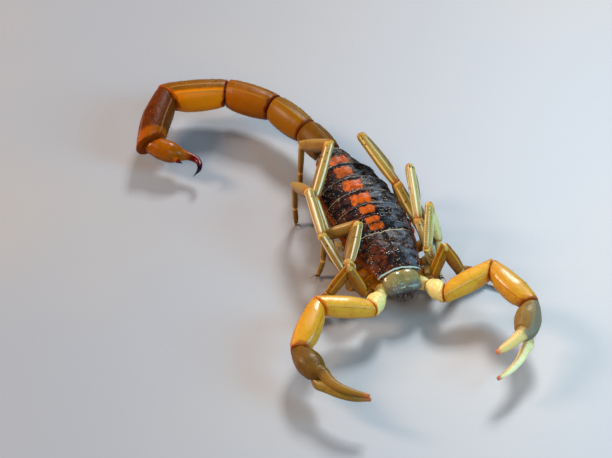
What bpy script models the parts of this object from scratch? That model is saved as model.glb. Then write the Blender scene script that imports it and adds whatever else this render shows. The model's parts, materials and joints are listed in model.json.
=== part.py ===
"""A bark scorpion at rest, life size, as a set of closed solids, one for each part of its body.

The animal faces -Y, its left side is +X and +Z is up. It stands on the plane z = 0 and the empty that
carries every piece puts the middle of its footprint on the origin. Lengths are in millimetres times MM.
A bearing is a pair of degrees: the heading, from straight back (+Y) towards the animal's left (+X), and
the pitch above the level. Every stretch of a limb runs along its own +Y, with +X across and +Z above.
"""
import math
from collections import namedtuple

import bmesh
import bpy
from mathutils import Matrix, Vector

MM = 0.001

# The whole animal
GAP = 0.3 * MM
FLOOR_REACH = 0.14 * MM
FLOOR_SINK = 0.03 * MM
FINEST_EDGE = 0.003 * MM
CUT_EXACTNESS = 0.001 * MM
RIM = 0.12 * MM
RIMS = {0.0: (0, 1), 1.0: (-1, 0)}
LEAN_SHARE = 0.35

# Head shield
SHIELD_LENGTH = 5.2 * MM
SHIELD_FRONT_HALF = 2.15 * MM
SHIELD_REAR_HALF = 3.45 * MM
SHIELD_FRONT_TOP = 4.2 * MM
SHIELD_REAR_TOP = 5.05 * MM
SHIELD_MARGIN = 3.55 * MM
SHIELD_BASE = 3.15 * MM
SHIELD_SIDES = 24
SHIELD_SHARES = (0.0, 0.1, 0.22, 0.32, 0.42, 0.55, 0.75, 0.93, 1.0)
SHIELD_END_DRAW = 0.08
SHIELD_FLARE = 0.8
EYE_HILL_Y = 1.95 * MM
EYE_HILL_RISE = 0.32 * MM
EYE_HILL_SPREAD = 0.85 * MM
EYE_RADIUS = 0.26 * MM
EYE_X = 0.58 * MM
EYE_SINK = 0.08 * MM
EYE_CLEARANCE = 0.1 * MM
SIDE_EYE_RADIUS = 0.17 * MM
SIDE_EYE_COUNT = 3
SIDE_EYE_FIRST = 0.35 * MM
SIDE_EYE_STEP = 0.36 * MM
SIDE_EYE_OUT = (0.02 * MM, 0.1 * MM)
SIDE_EYE_RISE = 0.12 * MM

# Jaws
JAW_X = 1.05 * MM
JAW_HEIGHT = 3.82 * MM
JAW_LENGTH = 1.55 * MM
JAW_BEARING = (180, -34)
JAW_HALF_WIDTH = 0.89 * MM
JAW_HALF_DEPTH = 0.66 * MM
JAW_START = (0.9, 0.76)
JAW_SWELL = ((0.2, 0.97), (0.55, 1.0), (0.85, 0.82), (1.0, 0.5))
JAW_SIDES = 16
# Jaw fingers in the jaw's own frame: x towards the body's midline, y along the jaw
JAW_INNER_FINGER = ((0.3, 1.0, 0.05), (0.5, 1.75, 0.0), (0.42, 2.25, -0.25))
JAW_OUTER_FINGER = ((-0.3, 1.0, -0.2), (-0.3, 1.75, -0.35), (0.02, 2.25, -0.5))
JAW_FINGER_RADII = (0.34, 0.25, 0.1)

# Underside of the head: breast plate, hips of legs one to four, and hips of the pincer arms
# Breast plate: distance back, half width, top and base of each station
BREAST = ((0.9, 1.2, 2.6, 1.75), (1.4, 2.0, 2.75, 1.55), (3.0, 2.3, 2.78, 1.5), (4.4, 2.3, 2.75, 1.55),
          (4.8, 1.8, 2.6, 1.75))
HIPS = {1: (2.65, 0.45, 1.95), 2: (3.0, 1.35, 2.0), 3: (3.3, 2.85, 2.0), 4: (3.5, 4.7, 1.95)}
HIP_ROOTS = {1: (0.8, 1.9, 2.1), 2: (0.8, 2.4, 2.1), 3: (0.8, 3.2, 2.1), 4: (0.8, 4.0, 2.1)}
HIP_RADIUS = 0.58
HIP_DRAW = 0.8
HIP_INNER = 0.01
HIP_FULL = 0.75
HIP_END_RADIUS = 0.42 * MM
PALP_HIP = (2.55, -1.25, 2.6)
PALP_HIP_ROOT = (1.35, 0.9, 1.95)
PALP_HIP_RADIUS = 0.46
PALP_HIP_END_RADIUS = 0.6 * MM

# Back plates: length, then half width, top and belly height at the rear edge of each
BACK_START = SHIELD_LENGTH + GAP / 2
BACK_LENGTHS = (1.1, 1.2, 1.6, 2.2, 2.4, 2.6, 3.2)
BACK_HALF_WIDTHS = (3.55, 3.65, 3.72, 3.75, 3.55, 3.1, 1.75)
BACK_TOPS = (5.15, 5.25, 5.35, 5.35, 5.2, 5.0, 4.55)
BACK_BELLIES = (2.3, 2.1, 1.95, 1.9, 1.95, 2.05, 2.55)
BACK_LIP = 0.07 * MM
BACK_SIDES = 24
# Along each back plate: how far along, and how far it stands proud as a share of the rear lip
BACK_STATIONS = ((0.0, -0.6), (0.12, 0.0), (0.55, 0.4), (0.88, 1.0), (1.0, 0.2))
BACK_MARGIN_SHARE = 0.52
BACK_FIRST_BELLY = 2.55
BACK_STEP = 0.05

# Combs under the second plate
COMB_ROOT = (0.75, 6.9, 1.42)
COMB_BEARING = (52, 0)
COMB_LENGTH = 4.3 * MM
COMB_HALF_WIDTH = 0.34 * MM
COMB_HALF_DEPTH = 0.27 * MM
COMB_TEETH = 8
COMB_TOOTH_LENGTH = 0.95 * MM
COMB_TOOTH_HALF = 0.19 * MM
COMB_SHAPE = ((0.0, 0.7), (0.08, 1.0), (0.6, 1.0), (1.0, 0.75))
COMB_TOOTH_SHAPE = ((0.0, 1.0), (0.55, 0.95), (0.9, 0.8), (1.0, 0.4))
COMB_TEETH_SPAN = (0.1, 0.94)
COMB_LAST_TOOTH = 0.75
COMB_TOOTH_DEPTH = 0.8

# Tail: length, largest half width, half depth, bearing and roll of each ring
TAIL_ROOT = (0.1, 19.75, 3.62)
TAIL_LENGTHS = (4.4, 5.3, 5.5, 6.25, 7.2)
TAIL_HALF_WIDTHS = (1.5, 1.52, 1.6, 1.55, 1.42)
TAIL_HALF_DEPTHS = (1.38, 1.45, 1.58, 1.52, 1.36)
TAIL_BEARINGS = ((-12, 0), (-19, -1), (-43, 0), (-75, -2), (-148, -5))
TAIL_ROLLS = (35, 55, 72, 85, 90)
TAIL_SWELL = ((0.0, 0.8), (0.17, 0.91), (0.45, 1.0), (0.8, 1.0), (1.0, 0.86))
TAIL_COLOURS = ("amber", "amber", "tan", "tan", "umber")
TAIL_SIDES = 20
TAIL_SQUARENESS = 0.8
VESICLE_SIDES = 16
TAIL_KEELS = (36, 144, 216, 324, 252, 288)
TAIL_KEEL_RISE = 0.07
STING_BEARING = (135, -6)
VESICLE_LENGTH = 3.9 * MM
VESICLE_HALF_WIDTH = 1.02
VESICLE_HALF_DEPTH = 1.05
VESICLE_SWELL = ((0.0, 0.72), (0.28, 1.0), (0.55, 1.0), (0.8, 0.76), (1.0, 0.5))
STING_POINTS = ((0.0, 3.3, 0.3), (0.0, 4.3, 0.5), (0.0, 5.35, 0.3), (0.0, 5.95, -0.65), (-0.3, 5.85, -1.75))
STING_RADII = (0.5, 0.42, 0.33, 0.25, 0.08)
SPUR_POINTS = ((0.0, 3.0, -0.3), (0.0, 3.75, -0.62), (0.0, 4.2, -0.7))
SPUR_RADII = (0.5, 0.3, 0.1)

# Pincer arms: lengths, half widths and half depths, the same on both sides
PALP_STRETCHES = ("trochanter", "femur", "patella", "hand")
PALP_LENGTHS = {"trochanter": 2.2, "femur": 5.15, "patella": 6.0, "hand": 4.3}
PALP_PROFILES = {
    "trochanter": ((0.0, 0.72, 0.7), (0.5, 0.93, 0.9), (1.0, 0.84, 0.84)),
    "femur": ((0.0, 0.78, 0.8), (0.2, 0.9, 0.94), (0.6, 0.98, 1.0), (1.0, 0.86, 0.88)),
    "patella": ((0.0, 0.82, 0.8), (0.25, 1.08, 1.0), (0.6, 1.2, 1.06), (0.85, 1.04, 0.96),
                (1.0, 0.82, 0.8)),
}
PALP_BEARINGS = {
    "left": {"trochanter": (157, 8), "femur": (85, 14), "patella": (165, -1), "hand": (-151, -11)},
    "right": {"trochanter": (-137, 8), "femur": (-78, 11), "patella": (-142, -6), "hand": (173, 0)},
}
PALP_COLOURS = {"trochanter": "straw", "femur": "straw", "patella": "amber", "hand": "umber"}
PALP_SIDES = 14
PALP_SQUARENESS = 0.85
# The hand's middle line in its own frame: x towards the body's midline, y along the hand, z above it
PALM = ((0.0, 0.46, 0.0), (0.0, 0.95, 0.0), (0.02, 2.0, 0.02), (0.05, 3.0, 0.06), (0.14, 3.55, 0.16))
PALM_RADII = (0.72, 1.12, 1.3, 1.1, 0.82)
HAND_FLATNESS = 0.84
FIXED_FINGERS = {
    "left": ((0.4, 4.1, 0.48), (1.15, 5.6, 1.05), (1.75, 6.5, 1.35), (2.35, 7.35, 1.63)),
    "right": ((0.35, 4.1, 0.42), (0.5, 5.5, 0.48), (1.15, 7.05, 0.5), (2.75, 8.75, 0.44)),
}
FIXED_FINGER_RADII = (0.5, 0.42, 0.36, 0.2)
MOVABLE_FINGERS = {
    "left": ((-0.3, 4.3, -0.68), (-0.12, 5.05, -0.5), (0.35, 6.75, -0.2), (1.1, 8.2, 0.08),
             (2.0, 9.35, 0.28)),
    "right": ((-0.22, 4.27, -0.72), (0.06, 5.1, -0.62), (0.85, 6.65, -0.52), (1.8, 7.8, -0.48),
              (3.0, 8.6, -0.42)),
}
MOVABLE_FINGER_RADII = (0.4, 0.37, 0.3, 0.24, 0.15)
FINGER_SIDES = 10

# Legs: lengths of each stretch in millimetres, first leg to last
LEG_STRETCHES = ("trochanter", "femur", "patella", "tibia", "basitarsus", "telotarsus")
LEG_LENGTHS = {
    1: (0.95, 3.1, 3.55, 2.85, 1.9, 1.4),
    2: (1.4, 2.5, 4.15, 3.6, 2.65, 1.75),
    3: (1.4, 4.0, 5.55, 4.05, 2.75, 1.75),
    4: (1.95, 6.35, 6.6, 4.45, 3.1, 2.0),
}
LEG_GIRTH = {1: 0.85, 2: 0.92, 3: 0.96, 4: 1.0}
# Bearings of the first five stretches; the last runs on at its heading down to the floor
LEG_BEARINGS = {
    ("left", 1): ((104, 17), (66, 60), (102, -62), (95, -21), (150, -12), 150),
    ("left", 2): ((73, 4), (-83, 72), (24, 31), (140, -71), (-147, -75), -173),
    ("left", 3): ((83, -6), (-8, 41), (12, 26), (128, -79), (159, -43), 176),
    ("left", 4): ((60, 3), (-10, 27), (-13, 16), (131, -47), (174, -57), 178),
    ("right", 1): ((-104, 14), (-51, 58), (-81, -57), (-119, -25), (-150, -8), -152),
    ("right", 2): ((-75, 2), (2, 71), (32, 20), (-59, -29), (-148, -70), -119),
    ("right", 3): ((-55, 15), (-24, 42), (6, 13), (-3, -28), (-160, -87), -172),
    ("right", 4): ((-28, -3), (-1, 30), (34, 18), (-24, -30), (-147, -77), -155),
}
# Half width and half depth at a share of the way between the ends of each stretch
LEG_PROFILES = {
    "trochanter": ((0.5, 0.44, 0.48),),
    "femur": ((0.0, 0.38, 0.42), (0.15, 0.42, 0.5), (0.45, 0.46, 0.62), (0.8, 0.46, 0.64),
              (1.0, 0.38, 0.5)),
    "patella": ((0.0, 0.36, 0.44), (0.12, 0.4, 0.52), (0.45, 0.45, 0.68), (0.85, 0.42, 0.66),
                (1.0, 0.36, 0.52)),
    "tibia": ((0.0, 0.34, 0.46), (0.12, 0.36, 0.54), (0.5, 0.36, 0.57), (0.8, 0.32, 0.46),
              (0.95, 0.28, 0.36)),
    "basitarsus": ((0.1, 0.27, 0.31), (0.85, 0.26, 0.28)),
    "telotarsus": ((0.15, 0.25, 0.28), (0.85, 0.24, 0.26)),
}
LEG_JOINT_RADII = {"hip": 0.38, "root": 0.4, "knee": 0.42, "shin": 0.4}
MITRE_MOST = math.radians(95)
FOLD_ROOM = 0.14 * MM
LEG_SIDES = 8
CLAW_POINTS = ((0.0, -0.1, 0.0), (0.0, 0.4, 0.1), (0.0, 0.75, -0.02))
CLAW_RADII = (0.15, 0.12, 0.04)
CLAW_SPREAD = 26
CLAW_PITCH = -4
CLAW_APART = 0.05 * MM
CLAW_HEIGHT = 0.24 * MM

COLOURS = {
    "dark_plate": (0.045, 0.03, 0.028, 1.0),
    "straw": (0.62, 0.4, 0.13, 1.0),
    "amber": (0.5, 0.23, 0.05, 1.0),
    "tan": (0.42, 0.2, 0.06, 1.0),
    "umber": (0.16, 0.08, 0.05, 1.0),
    "olive": (0.45, 0.36, 0.14, 1.0),
    "jet": (0.01, 0.01, 0.015, 1.0),
    "bone": (0.6, 0.5, 0.32, 1.0),
}
ROUGHNESS = {"dark_plate": 0.35, "jet": 0.08}
SMOOTH_ANGLE = math.radians(35)
ROUND_END = ((0.85, 0.55), (0.0, 1.0))

# One end of a stretch: its distance from the joint, its lean across and above, and a round end's radius
End = namedtuple("End", "back lean ball")
UPRIGHT = (0.0, 0.0)
BACKWARDS = Vector((0, 1, 0))
OPEN = End(0.0, UPRIGHT, 0.0)

carrier = None


def clear_scene():
    """Remove whatever the file already holds."""
    for item in list(bpy.data.objects):
        bpy.data.objects.remove(item, do_unlink=True)


def material(colour):
    """The finish of that name, made once."""
    found = bpy.data.materials.get(colour)
    if found:
        return found
    made = bpy.data.materials.new(colour)
    made.use_nodes = True
    shader = made.node_tree.nodes["Principled BSDF"]
    shader.inputs["Base Color"].default_value = COLOURS[colour]
    shader.inputs["Roughness"].default_value = ROUGHNESS.get(colour, 0.42)
    shader.inputs["Metallic"].default_value = 0.0
    return made


def millimetres(values):
    """A point given in millimetres, as a vector in metres."""
    return Vector(values) * MM


def seat(place, bearing, roll=0):
    """The frame at a place whose +Y points along a bearing, rolled about it."""
    heading, pitch = (math.radians(angle) for angle in bearing)
    turn = Matrix.Rotation(-heading, 4, "Z") @ Matrix.Rotation(pitch, 4, "X")
    turn = turn @ Matrix.Rotation(math.radians(roll), 4, "Y")
    return Matrix.Translation(place) @ turn


def ahead(frame, distance):
    """The point at a distance along a frame's +Y."""
    return frame @ Vector((0, distance, 0))


def bend(frame, other):
    """The angle between the +Y axes of two frames."""
    return frame.col[1].to_3d().angle(other.col[1].to_3d())


def direction(bearing):
    """The unit vector along a bearing."""
    return seat(Vector(), bearing).col[1].to_3d()


def seat_across(place, bearing, across):
    """The frame at a place whose +Y points along a bearing and whose +X lies nearest to a vector."""
    along = direction(bearing)
    side = (across - along * across.dot(along)).normalized()
    turn = Matrix((side, along, side.cross(along))).transposed().to_4x4()
    return Matrix.Translation(place) @ turn


def setback(radius, angle):
    """How far from a joint the middle of a round end lies, so that two ends keep the gap in a bend."""
    return (radius + GAP / 2) / math.cos(angle / 2)


def facing(frame, normal, back):
    """A flat end that faces along a direction, at a distance along that from the joint."""
    across, along, above = (normal.dot(frame.col[axis].to_3d()) for axis in range(3))
    return End(back / along, (-across / along, -above / along), 0.0)


def mitre(first, second):
    """The two flat ends that meet in a joint's middle plane, with the gap between them."""
    middle = (first.col[1] + second.col[1]).to_3d().normalized()
    return [facing(first, middle, GAP / 2), facing(second, middle, GAP / 2)]


def fold(first, second, radius):
    """Both ends of a sharp fold: a ball on the joint, and a round end that clears it."""
    reach = 2 * radius + GAP + FOLD_ROOM
    return [End(0.0, UPRIGHT, radius), End(reach / math.sin(bend(first, second)), UPRIGHT, radius)]


def signed_power(value, power):
    """A value raised to a power, with its sign kept."""
    return math.copysign(abs(value) ** power, value)


def ring(mesh, station, sides, power=1.0, keels=(), rise=0.0):
    """Add one closed loop and return its edges. A station is (frame, half width, half depth, lean)."""
    frame, half_width, half_depth, lean = station
    loop = bmesh.ops.create_circle(mesh, cap_ends=False, radius=1.0, segments=sides)["verts"]
    for vert in loop:
        angle = math.atan2(vert.co.y, vert.co.x)
        degrees = math.degrees(angle) % 360
        lift = 1.0 + rise * sum(1 for keel in keels if abs(degrees - keel) < 180 / sides)
        across = half_width * signed_power(math.cos(angle), power) * lift
        above = half_depth * signed_power(math.sin(angle), power) * lift
        vert.co = frame @ Vector((across, lean[0] * across + lean[1] * above, above))
    return list({edge for vert in loop for edge in vert.link_edges})


def skin_rings(mesh, rings):
    """Bridge each ring to the next and close both ends."""
    for first, second in zip(rings, rings[1:]):
        bmesh.ops.bridge_loops(mesh, edges=first + second)
    for end in (rings[0], rings[-1]):
        bmesh.ops.contextual_create(mesh, geom=end)
    bmesh.ops.recalc_face_normals(mesh, faces=mesh.faces)


def make_object(mesh, name, colour):
    """Turn a finished bmesh into a smooth shaded object that the carrier holds."""
    bmesh.ops.triangulate(mesh, faces=mesh.faces)
    data = bpy.data.meshes.new(name)
    mesh.to_mesh(data)
    mesh.free()
    data.shade_smooth()
    data.set_sharp_from_angle(angle=SMOOTH_ANGLE)
    data.materials.append(material(colour))
    made = bpy.data.objects.new(name, data)
    bpy.context.scene.collection.objects.link(made)
    made.parent = carrier
    return made


def loft(name, colour, stations, sides, power=1.0, keels=(), rise=0.0):
    """A closed solid through (frame, half width, half depth) stations, some with a lean."""
    mesh = bmesh.new()
    rings = [ring(mesh, (*station, UPRIGHT)[:4], sides, power, keels, rise) for station in stations]
    skin_rings(mesh, rings)
    return make_object(mesh, name, colour)


def round_end(frame, middle, radius, outward):
    """Stations that close a stretch with a round end, from its tip to its full radius."""
    stations = []
    for reach, size in ROUND_END:
        at = frame @ Matrix.Translation((0, middle + outward * radius * reach, 0))
        stations.append((at, radius * size, radius * size))
    return stations


def stretch_stations(frame, length, profile, start=OPEN, end=OPEN, girth=MM):
    """Stations of one stretch between two ends. A flat end gets a narrow rim round its face."""
    first = start.back
    reach = length - end.back - first
    stations = round_end(frame, first, start.ball, -1) if start.ball else []
    for share, wide, deep in profile:
        if share == 0.0 and start.ball or share == 1.0 and end.ball:
            continue
        near = max(1.0 - share / LEAN_SHARE, 0.0)
        far = max(1.0 - (1.0 - share) / LEAN_SHARE, 0.0)
        lean = tuple(near * a + far * b for a, b in zip(start.lean, end.lean))
        for shift in RIMS.get(share, (0,)):
            at = frame @ Matrix.Translation((0, first + reach * share + shift * RIM, 0))
            inset = RIM if shift == 0 and share in RIMS else 0.0
            stations.append((at, wide * girth - inset, deep * girth - inset, lean))
    if end.ball:
        stations += reversed(round_end(frame, first + reach, end.ball, 1))
    return stations


def spike(name, colour, points, radii, sides, base=Matrix.Identity(4), flatness=1.0):
    """A tapered, curved solid through points in the frame base, in millimetres, flatness as deep as wide."""
    path = [base @ millimetres(point) for point in points]
    stations = []
    for index, place in enumerate(path):
        before = path[max(index - 1, 0)]
        after = path[min(index + 1, len(path) - 1)]
        turn = (after - before).to_track_quat("Y", "Z").to_matrix().to_4x4()
        radius = radii[index] * MM
        stations.append((Matrix.Translation(place) @ turn, radius, radius * flatness))
    return loft(name, colour, stations, sides)


def keep_largest(mesh):
    """Delete every closed surface of a bmesh but the one with the most volume."""
    left = set(mesh.faces)
    shells = []
    while left:
        shell = {left.pop()}
        edge = list(shell)
        while edge:
            face = edge.pop()
            for neighbour in {near for side in face.edges for near in side.link_faces}:
                if neighbour in left:
                    left.discard(neighbour)
                    shell.add(neighbour)
                    edge.append(neighbour)
        shells.append(shell)
    if len(shells) > 1:
        size = {id(shell): abs(sum(f.calc_center_median().dot(f.normal) * f.calc_area() for f in shell))
                for shell in shells}
        largest = max(shells, key=lambda shell: size[id(shell)])
        scraps = [face for shell in shells if shell is not largest for face in shell]
        bmesh.ops.delete(mesh, geom=scraps, context="FACES")


def fuse(body, extras):
    """Join extra closed pieces to a body with one union, and keep its largest closed surface."""
    bpy.context.view_layer.update()
    group = bpy.data.collections.new(body.name + "_extras")
    bpy.context.scene.collection.children.link(group)
    for extra in extras:
        group.objects.link(extra)
    union = body.modifiers.new("union", "BOOLEAN")
    union.operation = "UNION"
    union.operand_type = "COLLECTION"
    union.collection = group
    union.solver = "EXACT"
    bpy.context.view_layer.update()
    result = bpy.data.meshes.new_from_object(body.evaluated_get(bpy.context.evaluated_depsgraph_get()))
    body.modifiers.clear()
    for extra in extras:
        bpy.data.objects.remove(extra, do_unlink=True)
    bpy.data.collections.remove(group)
    mesh = bmesh.new()
    mesh.from_mesh(result)
    bmesh.ops.dissolve_degenerate(mesh, dist=FINEST_EDGE, edges=mesh.edges)
    keep_largest(mesh)
    bmesh.ops.triangulate(mesh, faces=mesh.faces)
    mesh.to_mesh(body.data)
    mesh.free()
    body.data.shade_smooth()
    body.data.set_sharp_from_angle(angle=SMOOTH_ANGLE)
    return body


def cut_level(body):
    """Cut a piece flat where it would pass through the floor."""
    mesh = bmesh.new()
    mesh.from_mesh(body.data)
    geometry = list(mesh.verts) + list(mesh.edges) + list(mesh.faces)
    cut = bmesh.ops.bisect_plane(
        mesh, geom=geometry, plane_co=(0, 0, 0), plane_no=(0, 0, -1), clear_outer=True, dist=CUT_EXACTNESS)
    rim = [item for item in cut["geom_cut"] if isinstance(item, bmesh.types.BMEdge)]
    if rim:
        bmesh.ops.holes_fill(mesh, edges=rim, sides=0)
        bmesh.ops.dissolve_degenerate(mesh, dist=FINEST_EDGE, edges=mesh.edges)
        bmesh.ops.triangulate(mesh, faces=mesh.faces)
        bmesh.ops.recalc_face_normals(mesh, faces=mesh.faces)
    mesh.to_mesh(body.data)
    mesh.free()


def ball(name, colour, place, radius, segments=12, rings=8):
    """A round bead."""
    mesh = bmesh.new()
    bmesh.ops.create_uvsphere(
        mesh, u_segments=segments, v_segments=rings, radius=radius, matrix=Matrix.Translation(place))
    return make_object(mesh, name, colour)


def arched_ring(mesh, y, half_width, top, margin, base, sides):
    """A level-bottomed arch across the body at y, and its edges."""
    loop = bmesh.ops.create_circle(mesh, cap_ends=False, radius=1.0, segments=sides)["verts"]
    for vert in loop:
        angle = math.atan2(vert.co.y, vert.co.x)
        height = math.sin(angle)
        across = half_width * signed_power(math.cos(angle), 0.85)
        above = margin + (top - margin) * height if height > 0 else margin + (margin - base) * height
        vert.co = Vector((across, y, above))
    return list({edge for vert in loop for edge in vert.link_edges})


def shield_top(share):
    """The height of the head shield's midline at a share of its length."""
    return SHIELD_FRONT_TOP + (SHIELD_REAR_TOP - SHIELD_FRONT_TOP) * math.sin(share * math.pi / 2)


def shield():
    """The head shield, with the hill that carries the middle eyes and the beads of the side eyes."""
    mesh = bmesh.new()
    rings = []
    for share in SHIELD_SHARES:
        edge = 1.0 - SHIELD_END_DRAW * (share in (0.0, 1.0))
        half = SHIELD_FRONT_HALF + (SHIELD_REAR_HALF - SHIELD_FRONT_HALF) * share ** SHIELD_FLARE
        y = SHIELD_LENGTH * share
        rings.append(arched_ring(
            mesh, y, half * edge, shield_top(share), SHIELD_MARGIN, SHIELD_BASE, SHIELD_SIDES))
    skin_rings(mesh, rings)
    for vert in mesh.verts:
        if vert.co.z > SHIELD_MARGIN:
            apart = Vector((vert.co.x, vert.co.y - EYE_HILL_Y)).length / EYE_HILL_SPREAD
            vert.co.z += EYE_HILL_RISE * math.exp(-apart * apart)
    body = make_object(mesh, "carapace", "dark_plate")
    beads = []
    for side in (-1, 1):
        for number in range(SIDE_EYE_COUNT):
            y = SIDE_EYE_FIRST + SIDE_EYE_STEP * number
            x = side * (SHIELD_FRONT_HALF + SIDE_EYE_OUT[0] + SIDE_EYE_OUT[1] * number)
            place = (x, y, SHIELD_MARGIN + SIDE_EYE_RISE)
            beads.append(ball("side_eye", "jet", place, SIDE_EYE_RADIUS, 8, 6))
    fuse(body, beads)
    return body


def eye_place(side):
    """The middle of one of the middle eyes."""
    top = shield_top(EYE_HILL_Y / SHIELD_LENGTH)
    return Vector((side * EYE_X, EYE_HILL_Y, top + EYE_HILL_RISE - EYE_SINK))


def middle_eyes(body):
    """The two middle eyes, each in a socket of the head shield."""
    for side, word in ((1, "left"), (-1, "right")):
        place = eye_place(side)
        socket = ball("socket_" + word, "jet", place, EYE_RADIUS + EYE_CLEARANCE, 12, 8)
        socket.hide_render = True
        socket.display_type = "WIRE"
        cut = body.modifiers.new("socket_" + word, "BOOLEAN")
        cut.operation = "DIFFERENCE"
        cut.object = socket
        cut.solver = "EXACT"
        ball("eye_" + word, "jet", place, EYE_RADIUS)


def jaw(side, word):
    """One jaw: a plump base that ends in two short fingers."""
    root = Vector((side * JAW_X, -GAP, JAW_HEIGHT))
    frame = seat(root, JAW_BEARING)
    level = seat(root, (JAW_BEARING[0], 0))
    stations = [(level, JAW_HALF_WIDTH * JAW_START[0], JAW_HALF_DEPTH * JAW_START[1])]
    for share, size in JAW_SWELL:
        at = frame @ Matrix.Translation((0, JAW_LENGTH * share, 0))
        stations.append((at, JAW_HALF_WIDTH * size, JAW_HALF_DEPTH * size))
    body = loft("jaw_" + word, "olive", stations, JAW_SIDES)
    fingers = [spike("jaw_finger", "umber", finger_points(points, side), JAW_FINGER_RADII, 8, frame)
               for points in (JAW_INNER_FINGER, JAW_OUTER_FINGER)]
    return fuse(body, fingers)


def hips(bearings):
    """The breast plate with the roots of the eight legs and both pincer arms, each facing its limb."""
    slab = []
    for y, half, top, base in BREAST:
        middle = Vector((0, y * MM, (top + base) / 2 * MM))
        slab.append((Matrix.Translation(middle), half * MM, (top - base) / 2 * MM))
    body = loft("hips", "amber", slab, 20, 0.8)
    extras = []
    for (word, number), bearing in bearings.items():
        side = 1 if word == "left" else -1
        arm = number == 0
        tip = PALP_HIP if arm else HIPS[number]
        root = PALP_HIP_ROOT if arm else HIP_ROOTS[number]
        outer = millimetres((side * tip[0], tip[1], tip[2]))
        inner = millimetres((side * root[0], root[1], root[2]))
        along = outer - inner
        turn = along.to_track_quat("Y", "Z").to_matrix().to_4x4()
        frame = Matrix.Translation(inner) @ turn
        radius = PALP_HIP_RADIUS if arm else HIP_RADIUS
        end_radius = PALP_HIP_END_RADIUS if arm else HIP_END_RADIUS
        angle = along.angle(direction(bearing))
        profile = ((HIP_INNER, radius * HIP_DRAW, radius * HIP_DRAW), (HIP_FULL, radius, radius))
        end = End(setback(end_radius, angle), UPRIGHT, end_radius)
        stations = stretch_stations(frame, along.length, profile, OPEN, end)
        extras.append(loft("hip", "amber", stations, 12 if arm else 10))
    return fuse(body, extras)


def back():
    """The seven rings of the back, each a little wider and higher at its rear lip than the next."""
    start = BACK_START
    previous = (SHIELD_REAR_HALF / MM - BACK_STEP, SHIELD_REAR_TOP / MM - BACK_STEP, BACK_FIRST_BELLY)
    for index, length in enumerate(BACK_LENGTHS):
        rear = (BACK_HALF_WIDTHS[index], BACK_TOPS[index], BACK_BELLIES[index])
        mesh = bmesh.new()
        rings = []
        reach = length * MM - GAP
        for share, lip in BACK_STATIONS:
            half, top, belly = (a + (b - a) * share for a, b in zip(previous, rear))
            y = start + GAP / 2 + reach * share
            proud = lip * BACK_LIP
            margin = (belly + (top - belly) * BACK_MARGIN_SHARE) * MM
            rings.append(arched_ring(
                mesh, y, half * MM + proud, top * MM + proud, margin, belly * MM - proud * 0.3, BACK_SIDES))
        skin_rings(mesh, rings)
        make_object(mesh, f"back_{index + 1}", "dark_plate")
        start += length * MM
        previous = rear


def comb(side, word):
    """One comb: a flat spine under the belly with a row of teeth along its rear edge."""
    heading, pitch = COMB_BEARING
    root = millimetres((side * COMB_ROOT[0], COMB_ROOT[1], COMB_ROOT[2]))
    frame = seat(root, (side * heading, pitch))
    stations = [(frame @ Matrix.Translation((0, COMB_LENGTH * share, 0)), COMB_HALF_WIDTH * size,
                 COMB_HALF_DEPTH) for share, size in COMB_SHAPE]
    body = loft("comb_" + word, "bone", stations, 10, 0.7)
    teeth = []
    for number in range(COMB_TEETH):
        row = number / (COMB_TEETH - 1)
        along = COMB_LENGTH * (COMB_TEETH_SPAN[0] + (COMB_TEETH_SPAN[1] - COMB_TEETH_SPAN[0]) * row)
        foot = frame @ Matrix.Translation((0, along, 0)) @ Matrix.Rotation(math.radians(side * 90), 4, "Z")
        length = COMB_TOOTH_LENGTH * (1.0 + (COMB_LAST_TOOTH - 1.0) * row) + COMB_HALF_WIDTH
        tooth = [(foot @ Matrix.Translation((0, length * share, 0)), COMB_TOOTH_HALF * size,
                  COMB_HALF_DEPTH * COMB_TOOTH_DEPTH * size) for share, size in COMB_TOOTH_SHAPE]
        teeth.append(loft("tooth", "bone", tooth, 6))
    return fuse(body, teeth)


def tail():
    """The five rings of the tail, rolled on to their side, and the sting that ends them."""
    place = millimetres(TAIL_ROOT)
    bearings = TAIL_BEARINGS + (STING_BEARING,)
    frames = []
    for index, length in enumerate(TAIL_LENGTHS):
        frame = seat(place, bearings[index], -TAIL_ROLLS[index])
        frames.append(frame)
        place = ahead(frame, length * MM)
    sting_frame = seat(place, STING_BEARING, -TAIL_ROLLS[-1])
    frames.append(sting_frame)
    joints = [mitre(first, second) for first, second in zip(frames, frames[1:])]
    start = facing(frames[0], BACKWARDS, GAP / 2)
    for index, length in enumerate(TAIL_LENGTHS):
        wide = TAIL_HALF_WIDTHS[index]
        deep = TAIL_HALF_DEPTHS[index]
        profile = tuple((share, wide * size, deep * size) for share, size in TAIL_SWELL)
        stations = stretch_stations(frames[index], length * MM, profile, start, joints[index][0])
        loft(f"tail_{index + 1}", TAIL_COLOURS[index], stations, TAIL_SIDES, TAIL_SQUARENESS, TAIL_KEELS,
             TAIL_KEEL_RISE)
        start = joints[index][1]
    sting(sting_frame, start)


def sting(frame, start):
    """The swollen last stretch with its curved sting and the small spur under it."""
    profile = tuple((share, VESICLE_HALF_WIDTH * size, VESICLE_HALF_DEPTH * size)
                    for share, size in VESICLE_SWELL)
    body = loft("sting", "tan", stretch_stations(frame, VESICLE_LENGTH, profile, start), VESICLE_SIDES)
    hook = spike("hook", "umber", STING_POINTS, STING_RADII, 10, frame)
    spur = spike("spur", "umber", SPUR_POINTS, SPUR_RADII, 8, frame)
    return fuse(body, [hook, spur])


def finger_points(points, inner):
    """Finger points with x turned towards the body's midline."""
    return [(x * inner, y, z) for x, y, z in points]


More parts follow.
